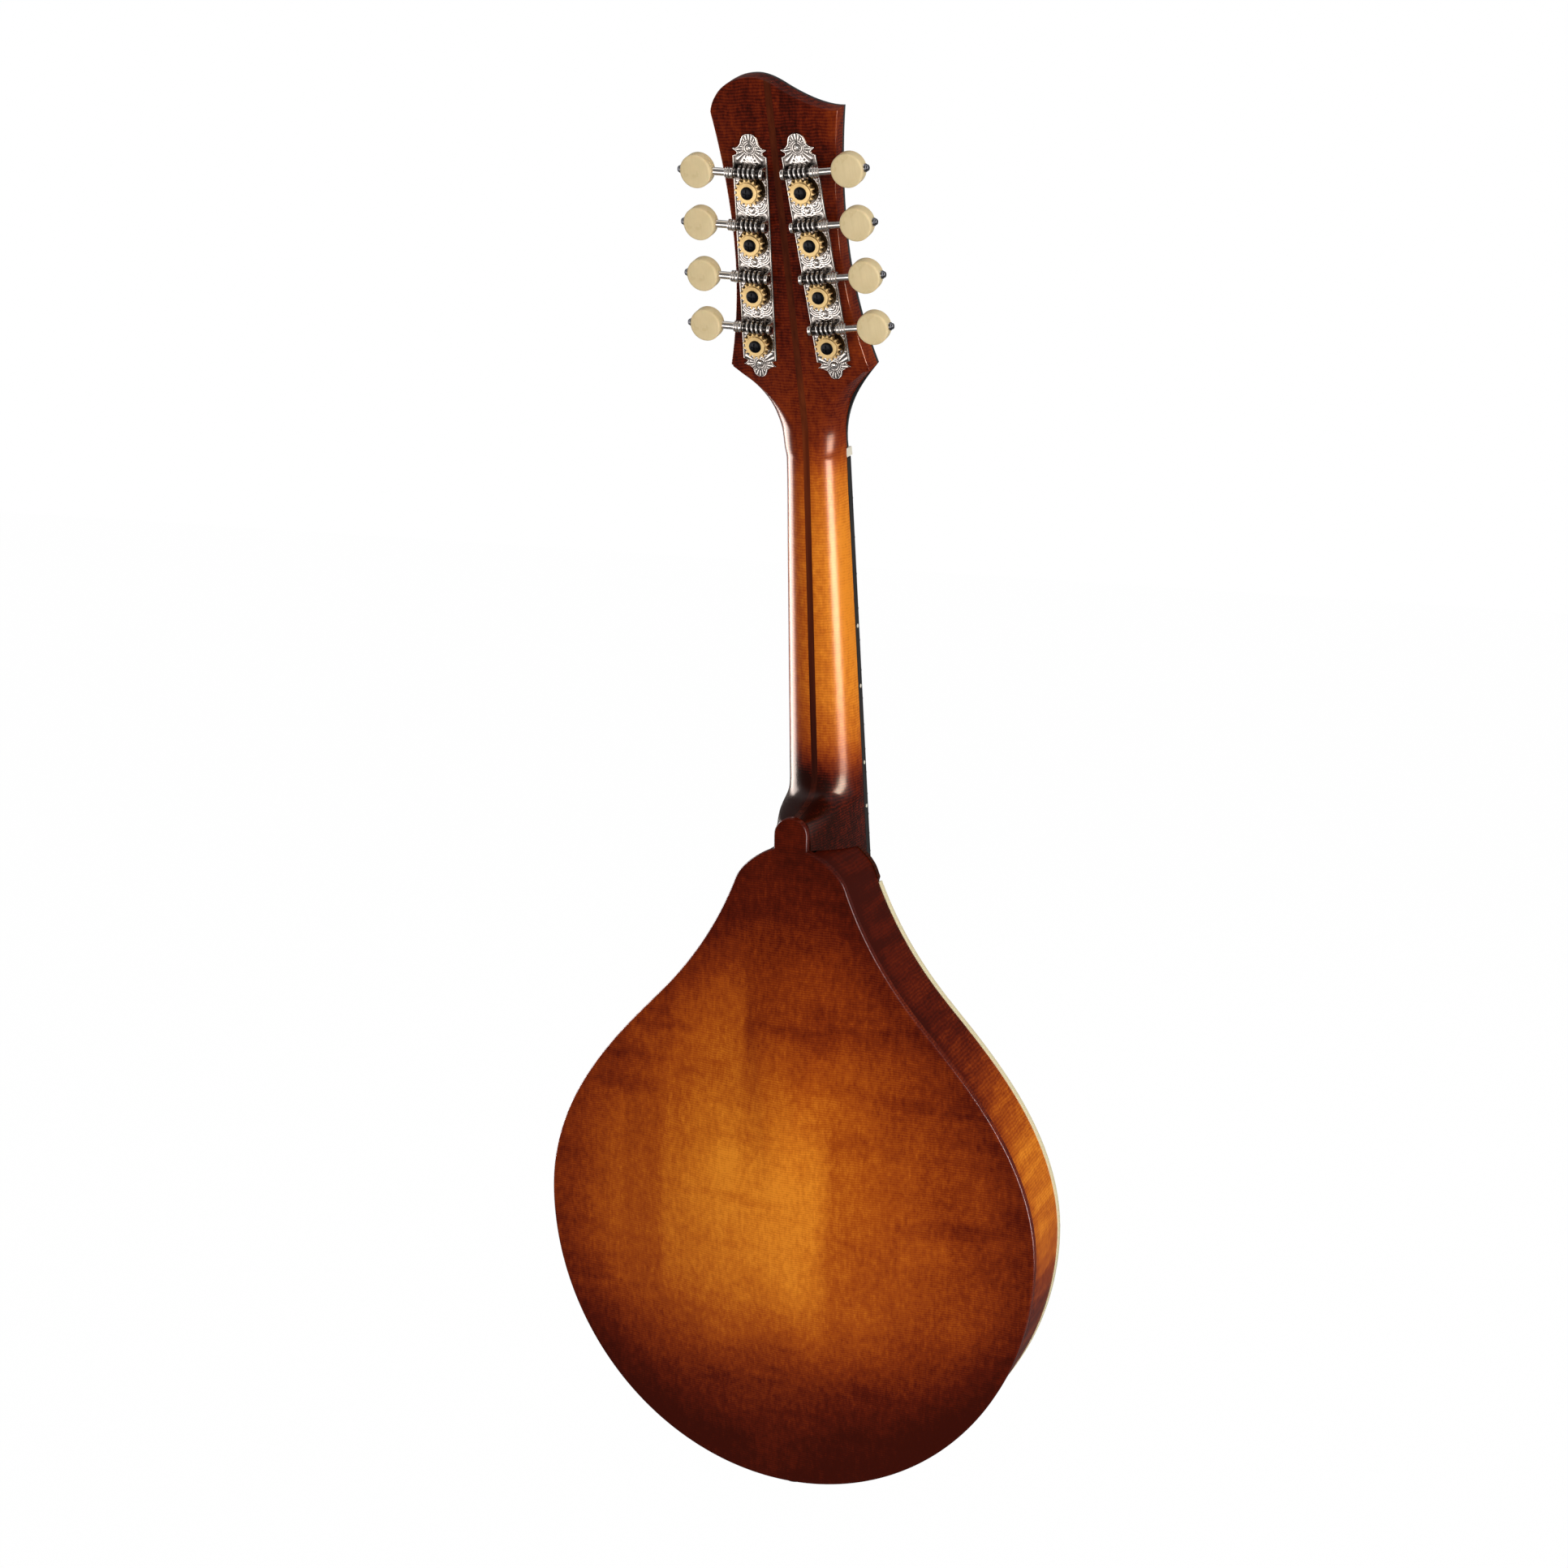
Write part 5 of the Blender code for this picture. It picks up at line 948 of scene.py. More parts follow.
def head_loop(foot):
    """The headstock's outline above the given foot, with its flowing top."""
    waist_t, waist_b = vec(0.0241, 0.1130), vec(-0.0256, 0.1060)
    top_t, top_b = vec(0.0280, 0.1625), vec(-0.0306, 0.1624)
    crest, sweep = vec(0.0080, 0.1768), vec(-0.0060, 0.1714)
    loop = foot + side_curve(TREBLE_CORNER, waist_t, 12) + [waist_t]
    loop += list(reversed(side_curve(top_t, waist_t, 12)[1:]))
    loop += bezier(top_t, top_t + vec(-0.0012, 0.0070), crest + vec(0.0112, 0), crest, 16)
    loop += bezier(crest, crest - vec(0.0052, 0), sweep + vec(0.0040, 0.0027), sweep, 10)
    loop += bezier(sweep, sweep - vec(0.0055, 0.0034), top_b + vec(0.009, 0), top_b, 12)
    loop += side_curve(top_b, waist_b, 12) + [waist_b]
    return loop + list(reversed(side_curve(BASS_CORNER, waist_b, 12)))


def flare_foot(start):
    sides = []
    for corner, sign in ((TREBLE_CORNER, 1), (BASS_CORNER, -1)):
        narrow = vec(sign * (NUT_HALF + 0.0006), start)
        lean_in = corner - vec(0.0070 * sign, 0.0082)
        sides.append(bezier(narrow, narrow + vec(0, 0.0215), lean_in, corner, 18))
    return list(reversed(sides[1])) + sides[0]


def posts_in(frame_of):
    """The places of the eight string posts in the frame given."""
    back = frame_of.inverted()
    return [back @ machine @ shift(0, 0, i * GEAR_SPACING) for machine in MACHINE.values() for i in ROWS]


def post_bores(frame_of):
    bore = rod(0.0036, -0.034, 0.004, 28, "Y")
    return merged([moved(bore, post) for post in posts_in(frame_of)])


def build_neck():
    to_neck = NECK.inverted()
    head = slab(head_loop([vec(-0.0285, 0.0465), vec(0.0285, 0.0465)]), GLUE_IN_HEAD, HEAD_BACK, 0, 0.0007)
    blank = combine(neck_blank(), moved(head, to_neck @ HEAD), how="UNION")
    rim = inset_loop(whole(inset_half(0)), -0.00003)
    cutters = [
        moved(block((-FAR, -FAR, 0.002), (FAR, GLUE_IN_FACE, FAR)), to_neck @ FACE),
        moved(slab([tuple(point) for point in rim], -0.0003, 0.1), to_neck @ BODY),
        moved(block((-FAR, BODY_DEPTH - PLATE_EDGE, 0), (FAR, 0.1, NECK_JOINT + 0.095)), to_neck @ BODY),
        block((-0.00515, 0.0035, -0.1653), (0.00515, 0.0130, 0.002)),
        block((-POCKET_HALF, -0.002, -0.001), (POCKET_HALF, POCKET_FLOOR, POCKET_TOP)),
        post_bores(NECK),
    ]
    blank = combine(blank, *cutters)
    groove = [
        block((-LAMINATION_HALF, LAMINATION_FLOOR, -FAR), (LAMINATION_HALF, FAR, 0.004)),
        moved(block((-LAMINATION_HALF, LAMINATION_FLOOR, 0.0), (LAMINATION_HALF, FAR, FAR)), to_neck @ HEAD),
    ]
    middle = combine(groove[0], groove[1], how="UNION")
    piece("shaped_neck", combine(blank, middle), NECK, NECK_WOOD, replaces=["neck"], sharp=40)
    stripe = combine(blank, middle, how="INTERSECT")
    piece("inlaid_stripe", stripe, NECK, STRIPE, replaces=["neck_lamination"], sharp=40)


def build_board():
    near, far = neck_half(0), neck_half(BOARD_LENGTH)
    loop = [(-near, 0), (-far, -BOARD_LENGTH), (far, -BOARD_LENGTH), (near, 0)]
    board = slab(loop, 0, BOARD_THICKNESS, 0.0004, 0.0)
    piece("playing_board", board, NECK, EBONY, replaces=["fingerboard"])
    frets, seat, half_wire, wire_height = [], 0.0002, 0.00055, 0.0010
    for number in range(1, FRET_COUNT + 1):
        distance = SCALE_LENGTH * (1 - 2 ** (-number / 12))
        half = neck_half(distance) - 0.0002
        rings = []
        for reach, size in ((-half, 0.55), (-half + 0.0006, 1), (half - 0.0006, 1), (half, 0.55)):
            ring = [(reach, seat, -distance + half_wire), (reach, seat, -distance - half_wire)]
            for i in range(9):
                angle = pi * i / 8
                crown = -wire_height * size * sin(angle)
                ring.append((reach, crown, -distance - half_wire * cos(angle)))
            rings.append(ring)
        frets.append(loft(rings))
    piece("fret_wires", merged(frets), NECK, FRET_WIRE)
    dots, pearls = [], []
    for number in (5, 7, 10, 12, 15):
        distance = SCALE_LENGTH * (2 - 2 ** (-number / 12) - 2 ** (-(number - 1) / 12)) / 2
        dot = rod(0.0009, 0.0002, -0.0004, 20, "X")
        edge = shift(-neck_half(distance), BOARD_THICKNESS / 2, -distance)
        dots.append(moved(dot, edge @ about("Z", pi)))
        for x in (-0.0065, 0.0065) if number == 12 else (0,):
            pearl = rod(0.0022, 0.0003, -0.00004, 28, "Y")
            pearls.append(moved(pearl, shift(x, 0, -distance)))
    piece("side_dots", merged(dots), NECK, BONE)
    piece("board_dots", merged(pearls), NECK, PEARL)


def screw(radius, height, slots, width=0.0004, depth=0.0005):
    """A domed screw head about Y, with one slot or a cross recess."""
    profile = [(0, 0.0), (radius, 0.0), (radius, height * 0.35)]
    for i in range(1, 7):
        angle = pi / 2 * i / 7
        profile.append((radius * cos(angle), height * (0.35 + 0.65 * sin(angle))))
    profile.append((0, height))
    head = lathe(profile, 36, "Y")
    reach = radius * (2.0 if slots == 1 else 0.62)
    cutters = [block((-reach, height - depth, -width / 2), (reach, height * 2, width / 2))]
    if slots == 2:
        cutters.append(block((-width / 2, height - depth, -reach), (width / 2, height * 2, reach)))
    return combine(head, *cutters)


def build_head_front():
    overlay = slab(head_loop(flare_foot(0.0061)), FRONT_IN_FACE, GLUE_IN_FACE, 0.0003)
    pocket = block((-POCKET_HALF, -0.02, -0.001), (POCKET_HALF, POCKET_FLOOR, POCKET_TOP))
    overlay = combine(overlay, moved(pocket, FACE.inverted() @ NECK), post_bores(FACE))
    piece("face_overlay", overlay, FACE, LACQUERED, replaces=["headstock_overlay"])
    lower, upper = vec(0.0085, 0.0073), vec(0, 0.0380)
    side = bezier(lower, lower + vec(0.001, 0.012), upper + vec(0.0060, -0.006), upper, 24)
    loop = side + [upper] + mirrored(side)
    cover = slab(loop, FRONT_IN_FACE - 0.0019, FRONT_IN_FACE - 0.0003, 0.0003)
    piece("rod_cover", cover, FACE, EBONY, replaces=["truss_rod_cover"])
    screws = []
    for x, z in ((0.0058, 0.0100), (-0.0058, 0.0100), (0, 0.0335)):
        head = moved(screw(0.0013, 0.0005, 2, 0.0003, 0.0003), about("Z", pi))
        screws.append(moved(head, shift(x, FRONT_IN_FACE - 0.0019, z)))
    piece("cover_screws", merged(screws), FACE, NICKEL)
    ring = [(0.0034, 0.0002), (0.0034, -0.0008), (0.0038, -0.0012), (0.0048, -0.0006), (0.0052, 0.0)]
    bushing = lathe([*ring, (0.0052, 0.0002), ring[0]], 40, "Y")
    bushings = []
    for local in posts_in(FACE):
        axis = local.to_3x3() @ vec(0, 1, 0)
        centre = local.translation + axis * ((FRONT_IN_FACE - local.translation.y) / axis.y)
        bushings.append(moved(bushing, Matrix.Translation(centre)))
    piece("post_bushings", merged(bushings), FACE, NICKEL)


# Tuning machines
SCREW_PLACES = [-0.0098] + [i * GEAR_SPACING + 0.01395 for i in range(3)] + [3 * GEAR_SPACING + 0.0180]


def plate_half_widths():
    """Places along the plate and its half-width at each, through both ornamental ends."""
    shoulder = ((1.0, 0), (0.77, 0.07), (0.74, 0.14), (0.80, 0.22), (1.0, 0.33), (0.80, 0.36), (0.66, 0.42))
    leaf = ((1.07, 0.55), (1.0, 0.68), (0.92, 0.78), (0.80, 0.87), (0.58, 0.94), (0.30, 0.985), (0.06, 1.0))
    ends = []
    for end, reach, crown, sign in ((PLATE_FOOT, 0.0082, 0.0033, -1), (PLATE_HEAD, 0.0097, 0.0040, 1)):
        part = [(end + sign * reach * share, PLATE_HALF * x) for x, share in shoulder]
        ends.append(part + [(end + sign * reach * share, crown * x) for x, share in leaf])
    return np.array(ends[0][::-1] + ends[1])


def engraving(x, z, half):
    """Height share of the engraved relief: 0 in the ground, 1 on its raised lines."""

    def ridge(distance, width):
        return np.exp(-((distance / width) ** 2))

    relief = np.zeros_like(x)
    for i, middle in enumerate(SCREW_PLACES):
        near = np.hypot(x, z - middle)
        for radius, width in ((0.0021, 0.00022), (0.0029, 0.00016)):
            relief = np.maximum(relief, ridge(near - radius, width))
        relief = np.where(near < 0.00175, 0.0, relief)
        angle = np.arctan2(x, z - middle)
        if i in (0, 4):
            fan = 0.5 + 0.5 * np.cos(angle * 22)
            fan *= np.clip((near - 0.0031) / 0.0004, 0, 1) * np.clip((0.0085 - near) / 0.001, 0, 1)
            relief = np.maximum(relief, fan * 0.9)
            continue
        for side in (-1, 1):
            for k, radius in enumerate((0.0015, 0.0025, 0.0034, 0.0043)):
                from_hub = np.hypot(x - side * 0.0034, z - middle - 0.0033)
                turned = np.arctan2((x - side * 0.0034) * side, -(z - middle - 0.0033))
                within = np.clip((turned + 0.75) / 0.2, 0, 1) * np.clip((1.9 - 0.12 * k - turned) / 0.2, 0, 1)
                relief = np.maximum(relief, ridge(from_hub - radius, 0.00026) * within)
                low_hub = np.hypot(x - side * 0.0046, z - middle + 0.0030)
                relief = np.maximum(relief, ridge(low_hub - radius * 0.55, 0.0002) * 0.8)
    for i in ROWS:
        gear = i * GEAR_SPACING
        around = np.hypot(x, z - gear)
        beads = 0.5 + 0.5 * np.cos(np.arctan2(x, z - gear) * 30)
        relief = np.maximum(relief, ridge(around - 0.0068, 0.00018))
        relief = np.maximum(relief, ridge(around - 0.0075, 0.0003) * beads)
        leaf = gear + WORM_CENTRE + 0.0030
        for side in (-1, 1):
            for lean_by in (0.25, 0.75, 1.25):
                line = (x * side) * cos(lean_by) - (z - leaf) * sin(lean_by)
                along = (x * side) * sin(lean_by) + (z - leaf) * cos(lean_by)
                within = np.clip(along / 0.0008, 0, 1) * np.clip((0.0042 - along) / 0.001, 0, 1)
                relief = np.maximum(relief, ridge(line, 0.00032) * within)
    margin = np.abs(x) / np.maximum(half, 1e-6)
    inside = half - np.abs(x)
    relief = relief * np.clip((inside - 0.0009) / 0.0002, 0, 1)
    return np.maximum(relief, np.clip((0.00078 - inside) / 0.00012, 0, 1) * (margin > 0.5))


def plate_mesh():
    line = plate_half_widths()
    keys = line[:, 0]
    rows = np.unique(np.concatenate([np.linspace(keys[0], keys[-1], 430), keys]))
    rows = rows[np.concatenate([[True], np.diff(rows) > 0.00004])]
    half = np.interp(rows, keys, line[:, 1])
    columns = 60
    share = np.linspace(-1, 1, columns)
    x = half[:, None] * share[None, :]
    z = np.repeat(rows[:, None], columns, 1)
    inside = half[:, None] - np.abs(x)
    relief = engraving(x, z, half[:, None])
    ease = 0.00022 * np.clip(1 - inside / 0.0003, 0, 1) ** 2
    y = PLATE_TOP - ENGRAVED * (1 - relief) - ease
    top = np.stack([x, y, z], -1)
    rings = []
    for reach, along, face in zip(half, rows, top):
        rings.append([*face, (reach, 0.0, along), (-reach, 0.0, along)])
    return loft(rings)


def ear_mesh(low, high, centre):
    half = 0.0026
    profile = [(PLATE_TOP - 0.0005, -half), (PLATE_TOP - 0.0005, half)]
    for i in range(13):
        angle = pi / 2 * (1 - i / 6)
        profile.append((WORM_AXIS + half * cos(angle), half * sin(angle)))
    return moved(slab(profile, low, high, 0.0003, 0.0003, "X"), shift(0, 0, centre))


def build_plates():
    plate = plate_mesh()
    ears, bores, holes, screws = [], [], [], []
    for i in ROWS:
        shaft = i * GEAR_SPACING + WORM_CENTRE
        ears += [ear_mesh(0.0061, 0.0076, shaft), ear_mesh(-0.0076, -0.0061, shaft)]
        bores.append(moved(rod(0.0020, -0.012, 0.012, 28, "X"), shift(0, WORM_AXIS, shaft)))
        holes.append(moved(rod(0.0033, -0.002, 0.004, 28, "Y"), shift(0, 0, i * GEAR_SPACING)))
    for middle in SCREW_PLACES:
        slot_turn = 0.4 + middle * 60
        place = shift(0, PLATE_TOP - 0.0002, middle) @ about("Y", slot_turn)
        screws.append(moved(screw(0.00135, 0.0007, 1, 0.00045, 0.0006), place))
    plate = combine(plate, merged(ears), how="UNION")
    plate = combine(plate, merged(bores), merged(holes))
    points = corners(plate)
    depth = PLATE_TOP - points[:, 1]
    relief = np.where(points[:, 1] > PLATE_TOP + 1e-5, 1.0, np.clip(1 - depth / ENGRAVED, 0, 1))
    float_attribute(plate, "relief", np.where(points[:, 1] < PLATE_TOP - 0.00045, 1.0, relief))
    heads = merged(screws)
    for side, label in SIDES:
        place, solid = MACHINE[side], f"tuner_plate_{label}"
        piece(f"engraved_plate_{label}", plate.copy(), place, PLATED, replaces=[solid], sharp=50)
        piece(f"plate_screws_{label}", heads.copy(), place, NICKEL)


def two_finishes(mesh, first, second, has_second):
    """The mesh with the first finish, and the second on the faces that the test picks."""
    mesh.materials.clear()
    mesh.materials.append(first)
    mesh.materials.append(second)
    mesh.polygons.foreach_set("material_index", [int(has_second(face)) for face in mesh.polygons])
    return mesh


def worm_mesh():
    """The shaft with its round-crested thread, doubled collar and end nub, along X."""
    profile = [(0, -0.0079), (0.0013, -0.0079), (0.0013, -0.0058), (WORM_ROOT, -0.0058), (WORM_ROOT, 0.0058)]
    profile += [(0.0017, 0.0058), (0.0017, 0.0079), (0.0026, 0.0079), (0.0026, 0.0086), (0.0021, 0.0088)]
    profile += [(0.0021, 0.0090), (0.0025, 0.0092), (0.0025, 0.0099), (0.0017, 0.0099), (0.0017, 0.0310)]
    core = lathe(filleted(profile + [(0, 0.0310)], 0.00025), 40, "X")
    steps, ramp = 30, 0.25
    half_root, half_tip = THREAD_PITCH * 0.42 * 0.72, THREAD_PITCH * 0.42 * 0.30
    rings = []
    for i in range(THREAD_TURNS * steps + 1):
        turns = i / steps - THREAD_TURNS / 2
        grown = min(1, (i / steps + 0.08) / ramp, (THREAD_TURNS - i / steps + 0.08) / ramp)
        crest = WORM_ROOT + (WORM_RADIUS - WORM_ROOT) * grown
        outward = vec(0, sin(2 * pi * turns), -cos(2 * pi * turns))
        section = ((-half_root, WORM_ROOT * 0.93), (-half_tip * 1.5, crest * 0.965), (-half_tip * 0.7, crest))
        section += tuple((-offset, radius) for offset, radius in reversed(section))
        along = turns * THREAD_PITCH
        rings.append([vec(along + offset, 0, 0) + outward * radius for offset, radius in section])
    mesh = merged([core, loft(rings)])
    shaft_faces = len(mesh.polygons)
    profile = [(0, 0.03060), (0.0018, 0.03060), (0.0018, 0.0313), (0.0014, 0.0316)]
    profile += [(0.0014, 0.0320), (0.0009, 0.03245), (0, 0.03255)]
    nub = lathe(filleted(profile, 0.0002), 32, "X")
    nub = combine(nub, block((0.0322, -0.0002, -0.004), (0.0352, 0.0002, 0.004)))
    return two_finishes(merged([mesh, nub]), THREAD_SHADED_NICKEL, DARK_CHROME, lambda face: face.index >= shaft_faces)


def gear_mesh():
    """A toothed gear with its raised disc and string post, about Y."""
    tip = WORM_CENTRE - WORM_ROOT - 0.0001
    root = WORM_CENTRE - WORM_RADIUS - 0.0001
    pitch_radius = GEAR_TEETH * THREAD_PITCH / (2 * pi)
    slope = THREAD_PITCH / (2 * pi * (WORM_CENTRE - pitch_radius))
    tooth = 2 * pi / GEAR_TEETH
    low, high, chamfer, disc_foot = WORM_AXIS - 0.00105, WORM_AXIS + 0.00105, 0.00015, 0.0013
    flanks = ((-0.50, 0), (-0.26, 0), (-0.20, 0.5), (-0.10, 1), (0.10, 1), (0.20, 0.5), (0.26, 0))

    def ring(height, shrink):
        twist = slope * (height - WORM_AXIS) / pitch_radius
        points = []
        for i in range(GEAR_TEETH):
            for offset, rise in flanks:
                angle = tooth * (i + 0.5 + offset) + twist
                radius = root + (tip - root) * rise - shrink
                points.append((radius * sin(angle), height, radius * cos(angle)))
        return points

    rings = [ring(low, chamfer), ring(low + chamfer, 0), ring(high - chamfer, 0), ring(high, chamfer)]
    front = GLUE_IN_HEAD - OVERLAY - HEAD_BACK - 0.0141
    profile = [(0, high + 0.0006), (0.0044, high + 0.0006), (0.0046, high + 0.0004), (0.0046, high - 0.0003)]
    profile += [(0.0036, low), (0.0036, disc_foot), (0.0030, disc_foot)]
    for radius, above in ((0.0030, 0.0060), (0.0026, 0.0048), (0.0026, 0.0028), (0.0030, 0.0018)):
        profile.append((radius, front + above))
    profile += [(0.0030, front + 0.0004), (0.0025, front), (0, front)]
    mesh = combine(loft(rings), lathe(profile, 40, "Y"), how="UNION")
    return two_finishes(mesh, BRASS, NICKEL, lambda face: face.center.y < disc_foot)


def button_mesh():
    half = BUTTON_THICKNESS / 2
    edge = 0.0010
    profile = [(0, half), (BUTTON_RADIUS - edge, half)]
    for i in range(1, 7):
        angle = pi / 2 * i / 6
        profile.append((BUTTON_RADIUS - edge * (1 - sin(angle)), half - edge * (1 - cos(angle))))
    profile += [(radius, -height) for radius, height in reversed(profile)]
    return lathe(profile, 72, "Y")


def machine_of(index):
    if index < 4:
        return BASS, index
    return TREBLE, 7 - index


def build_tuners():
    build_plates()
    worm, gear, button = worm_mesh(), gear_mesh(), button_mesh()
    head = moved(screw(0.0028, 0.0010, 2, 0.0007, 0.0006), shift(0, WORM_AXIS + 0.0016, 0))
    for index, label in enumerate(STRINGS):
        side, row = machine_of(index)
        outward = about("Z", 0 if side == TREBLE else pi)
        gear_at = MACHINE[side] @ shift(0, 0, row * GEAR_SPACING)
        shaft = gear_at @ shift(0, WORM_AXIS, WORM_CENTRE) @ outward
        on_worm, on_gear = f"worm_and_button_{label}", f"gear_and_post_{label}"
        knob = shaft @ shift(BUTTON_AT, 0, 0)
        for name, mesh, place, material, slot, body, solids, sharp in (
            ("threaded_shaft", worm, shaft, THREAD_SHADED_NICKEL, "worm_nickel", on_worm, [f"worm_{label}"], 40),
            ("round_button", button, knob, IVORY, "button_ivoroid", on_worm, [f"button_{label}"], 35),
            ("toothed_gear", gear, gear_at, BRASS, "brass", on_gear, [f"gear_{label}"], 30),
            ("gear_screw", head, gear_at, BLACK_STEEL, "steel", on_gear, [], 35),
        ):
            piece(f"{name}_{label}", mesh.copy(), place, material, body, solids, sharp)


# Bridge wheels and strings
def saddle_crossing():
    """Where the strings cross the saddle, in the body's frame."""
    above_board, compensation = 0.0042, 0.0020
    return BODY.inverted() @ NECK @ vec(0, -above_board, -(SCALE_LENGTH + compensation))


def top_face(x, z):
    return -float(carve(rim_shares(np.array([[x, z]]))[0], TOP_ARCH))


def build_wheels():
    for side, label in SIDES:
        low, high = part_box(f"thumbwheel_{label}")
        middle = (low + high) / 2
        rings = []
        rim, edge, bore, knurl = 0.0065, 0.0065 * 0.94, 0.0019, 0.00022
        for height, radius, cut in (
            (0.0, edge, knurl),
            (0.00025, rim, knurl),
            (0.00175, rim, knurl),
            (0.0020, edge, knurl),
            (0.0020, bore, 0.0),
            (0.0, bore, 0.0),
        ):
            ring = []
            for i in range(144):
                angle = 2 * pi * i / 144
                reach = radius - cut * (i % 3 == 0)
                ring.append((reach * cos(angle), height, reach * sin(angle)))
            rings.append(ring)
        place, wheel = shift(middle.x, low.y, middle.z), f"thumbwheel_{label}"
        mesh = loft(rings, closed=True)
        piece(f"knurled_wheel_{label}", mesh, place, BRASS, wheel, [wheel])


def tube(line, radius):
    """A round wire along points, its section carried without twisting."""
    sides = 12
    rings = []
    up = None
    for i, point in enumerate(line):
        along = (line[min(i + 1, len(line) - 1)] - line[max(i - 1, 0)]).normalized()
        if up is None:
            up = along.orthogonal().normalized()
        up = (up - along * up.dot(along)).normalized()
        across = along.cross(up)
        angles = [2 * pi * k / sides for k in range(sides)]
        rings.append([point + (up * cos(a) + across * sin(a)) * radius for a in angles])
    return loft(rings)


def string_route(index):
    """From the tail hook over the saddle and nut to the turns on the post, in world space."""
    radius = STRING_RADII[index]
    side, row = machine_of(index)
    course, second = divmod(index, 2)

    def across(course_spacing, pair_spacing):
        return (course - 1.5) * course_spacing + (second - 0.5) * pair_spacing

    low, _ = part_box(f"string_{STRINGS[index]}")
    start_z = low.z - BODY.translation.z + radius
    crossing = saddle_crossing()
    plate_foot, hooks, plate_head = 0.010, 0.0300, 0.0440
    stand = top_face(0, TAIL_Z + plate_head) - 0.0013
    share = (hooks - plate_foot) / (plate_head - plate_foot)
    floor = -0.0032 + (stand + 0.0032) * share
    start = BODY @ vec(across(0.0072, 0.0030), floor - 0.0018, start_z)
    points = [start, BODY @ vec(across(0.0126, 0.0026), crossing.y, crossing.z)]
    points.append(NECK @ vec(across(0.0072, 0.0022), -0.0013, 0))
    points.append(NECK @ vec(across(0.0072, 0.0022), -0.0009, 0.0050))
    winding = 0.0030 + 0.0003 + radius
    turn_height = GLUE_IN_HEAD - OVERLAY - HEAD_BACK - 0.0075
    centre = vec(0, 0, row * GEAR_SPACING)
    for i in range(2 * 28 + 1):
        turns = i / 28
        angle = pi / 2 + side * pi / 2 + side * 2 * pi * turns
        turn = vec(winding * cos(angle), turn_height + 0.0013 * turns, winding * sin(angle))
        points.append(MACHINE[side] @ (centre + turn))
    return points


def build_strings():
    for index, label in enumerate(STRINGS):
        wire = tube(string_route(index), STRING_RADII[index])
        material, slot = (WOUND, "wound_steel") if index < 4 else (STEEL, "steel")
        piece(f"wire_{label}", wire, Matrix(), material, replaces=[f"string_{label}"])


def finish_nodes():
    refinish(EBONY, ["bridge_base", "bridge_saddle"], 0.0005)
    refinish(POLISHED, ["tailpiece_base"], 0.0002)
    refinish(POLISHED, ["tailpiece_cover"], 0.0003)
    refinish(BONE, ["nut"], 0.0002)
    refinish(STEEL, ["truss_rod"])
    refinish(BRASS, ["truss_rod_nut"])
    refinish(INNER, ["lining_top", "lining_back", "head_block", "tail_block"])
    refinish(INNER_SPRUCE, ["tone_bar_bass", "tone_bar_treble"])


# Studio
def seen_directly(nodes):
    """One for camera, glossy and transmission rays, nought for the light that falls on the object."""
    path = nodes.node("LightPath").outputs
    seen = nodes.calc("MAXIMUM", path["Is Camera Ray"], path["Is Glossy Ray"])
    return nodes.calc("MAXIMUM", seen, path["Is Transmission Ray"])


def white_or(nodes, level):
    """Inputs of a white glow that is full to the camera and at the level to all other rays."""
    return {0: WHITE, 1: nodes.calc("MAXIMUM", nodes.node("LightPath").outputs["Is Camera Ray"], level)}


def build_backdrop(world):
    """White to the camera; a gloss sees a bright ring overhead and at the sides, dimmer front and back."""
    world.use_nodes = True
    nodes = Nodes(world.node_tree)
    light = nodes.tree.nodes["Background"]
    nodes.fill(light, {0: WHITE, 1: WORLD_LEVEL})
    direction = nodes.node("TexCoord").outputs["Generated"]
    depth = nodes.calc("ABSOLUTE", nodes.node("SeparateXYZ", {0: direction}).outputs["Y"])
    ring = nodes.ease(depth, 0.10, 0.62, 1.0, ROOM_LEVEL)
    nodes.join(seen_directly(nodes), light, nodes.node("Background", white_or(nodes, ring)), "World Output")


def build_floor():
    material = bpy.data.materials.new("studio_floor")
    material.use_nodes = True
    nodes = Nodes(material.node_tree)
    nodes.tree.nodes.remove(nodes.tree.nodes["Principled BSDF"])
    diffuse = nodes.node("BsdfDiffuse", {0: (0.9, 0.9, 0.9, 1)})
    glow = nodes.node("Emission", white_or(nodes, ROOM_LEVEL))
    nodes.join(nodes.times(seen_directly(nodes), 0.99), diffuse, glow, "Material Output")
    floor = set_out("studio_floor", block((-6, -6, -0.02), (6, 6, 0)))
    floor.data.materials.append(material)
    floor.location.z = cad_box[0][2] - FLOOR_DROP


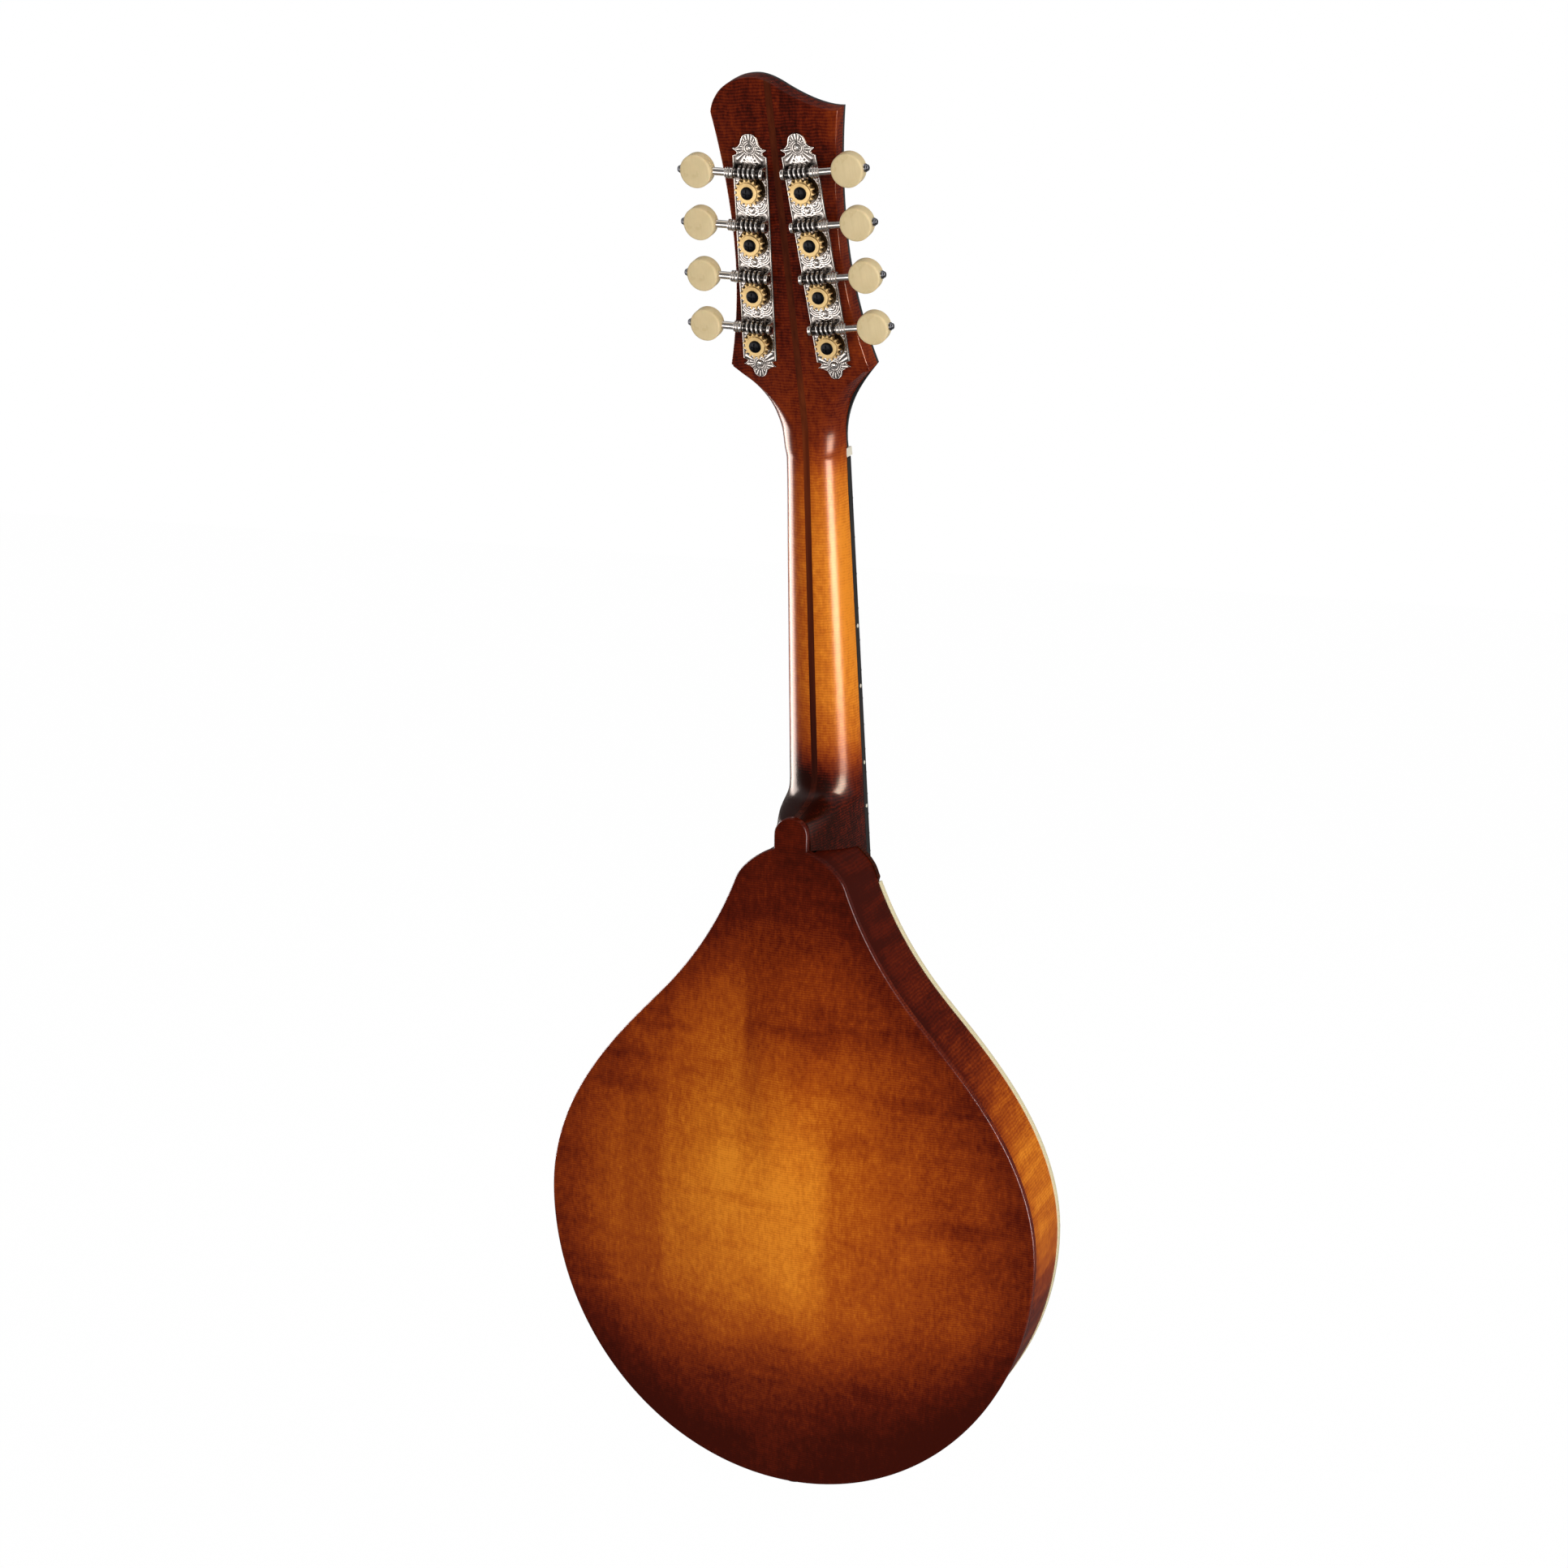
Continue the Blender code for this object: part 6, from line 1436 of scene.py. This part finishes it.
def hang_lamps():
    """Three lamps light every surface; the others show only as a gloss, on the pieces they are hung for."""
    metals = []
    for obj in bpy.context.scene.objects:
        if any(slot.material and "metal" in slot.material for slot in obj.material_slots):
            metals.append(obj.name)
    everything, back, neck = (), ("arched_back",), ("shaped_neck", "inlaid_stripe")
    for name, place, aim, size, power, tint, shown_on in (
        ("key", (-0.6, 1.9, 0.8), -0.25, (1.2, 1.2), 10.0, (1, 1), everything),
        ("bass_side", (-1.6, 0.8, 0.1), -0.25, (0.8, 1.4), 14.0, (1, 1), everything),
        ("front_light", (0.3, -1.8, 0.7), -0.25, (1.2, 1.2), 14.0, (1, 1), everything),
        ("treble_metal", (1.35, 0.30, -0.10), -0.10, (1.2, 1.5), 10.0, (0.97, 0.94), metals),
        ("bass_metal", (-1.25, 0.56, 0.10), -0.10, (0.5, 1.5), 5.0, (0.97, 0.94), metals),
        ("low_metal", (0.60, 1.25, -0.75), 0.10, (1.3, 1.3), 13.0, (0.97, 0.95), metals),
        ("front_metal", (0.25, -1.40, -0.50), -0.20, (1.1, 1.3), 8.0, (0.98, 0.96), metals),
        ("treble_rim", (1.5, -0.30, -0.2), -0.3, (0.4, 1.5), 90.0, (0.94, 0.96), back),
        ("bass_rim", (-1.5, -0.30, -0.2), -0.3, (0.4, 1.5), 160.0, (0.94, 0.96), back),
        ("treble_neck", (1.33, -0.34, -0.10), -0.10, (0.85, 1.5), 72.0, (0.84, 0.76), neck),
        ("bass_neck", (-1.25, 0.56, 0.10), -0.10, (0.6, 1.5), 175.0, (0.85, 0.66), neck),
    ):
        data = bpy.data.lights.new(name, "AREA")
        data.shape = "RECTANGLE"
        data.size, data.size_y = size
        data.energy = power
        data.color = (1, *tint)
        lamp = set_out(name, data)
        lamp.location = place
        lamp.rotation_euler = (vec(0, 0, aim) - Vector(place)).to_track_quat("-Z", "Y").to_euler()
        lamp.visible_diffuse = not shown_on
        lamp.visible_glossy = bool(shown_on)
        if shown_on:
            receivers = bpy.data.collections.new(f"{name}_receivers")
            for each in shown_on:
                receivers.objects.link(bpy.data.objects[each])
            lamp.light_linking.receiver_collection = receivers


def build_studio():
    scene = bpy.context.scene
    scene.world = bpy.data.worlds.new("studio")
    build_backdrop(scene.world)
    build_floor()
    hang_lamps()
    data = bpy.data.cameras.new("photo_camera")
    data.lens = 51.416
    data.sensor_width = 36.0
    data.clip_start = 0.05
    scene.camera = set_out("photo_camera", data)
    axes = (-0.92483, -0.38002, 0.01650), (0.09649, -0.19242, 0.97656), (-0.36793, 0.90474, 0.21462)
    turn = Matrix(axes).transposed().to_4x4()
    scene.camera.matrix_world = shift(-0.38143, 0.97838, 0.07354) @ turn
    scene.view_settings.view_transform = "Standard"


build_body()
build_neck()
build_board()
build_head_front()
build_tuners()
build_wheels()
build_strings()
finish_nodes()
build_studio()
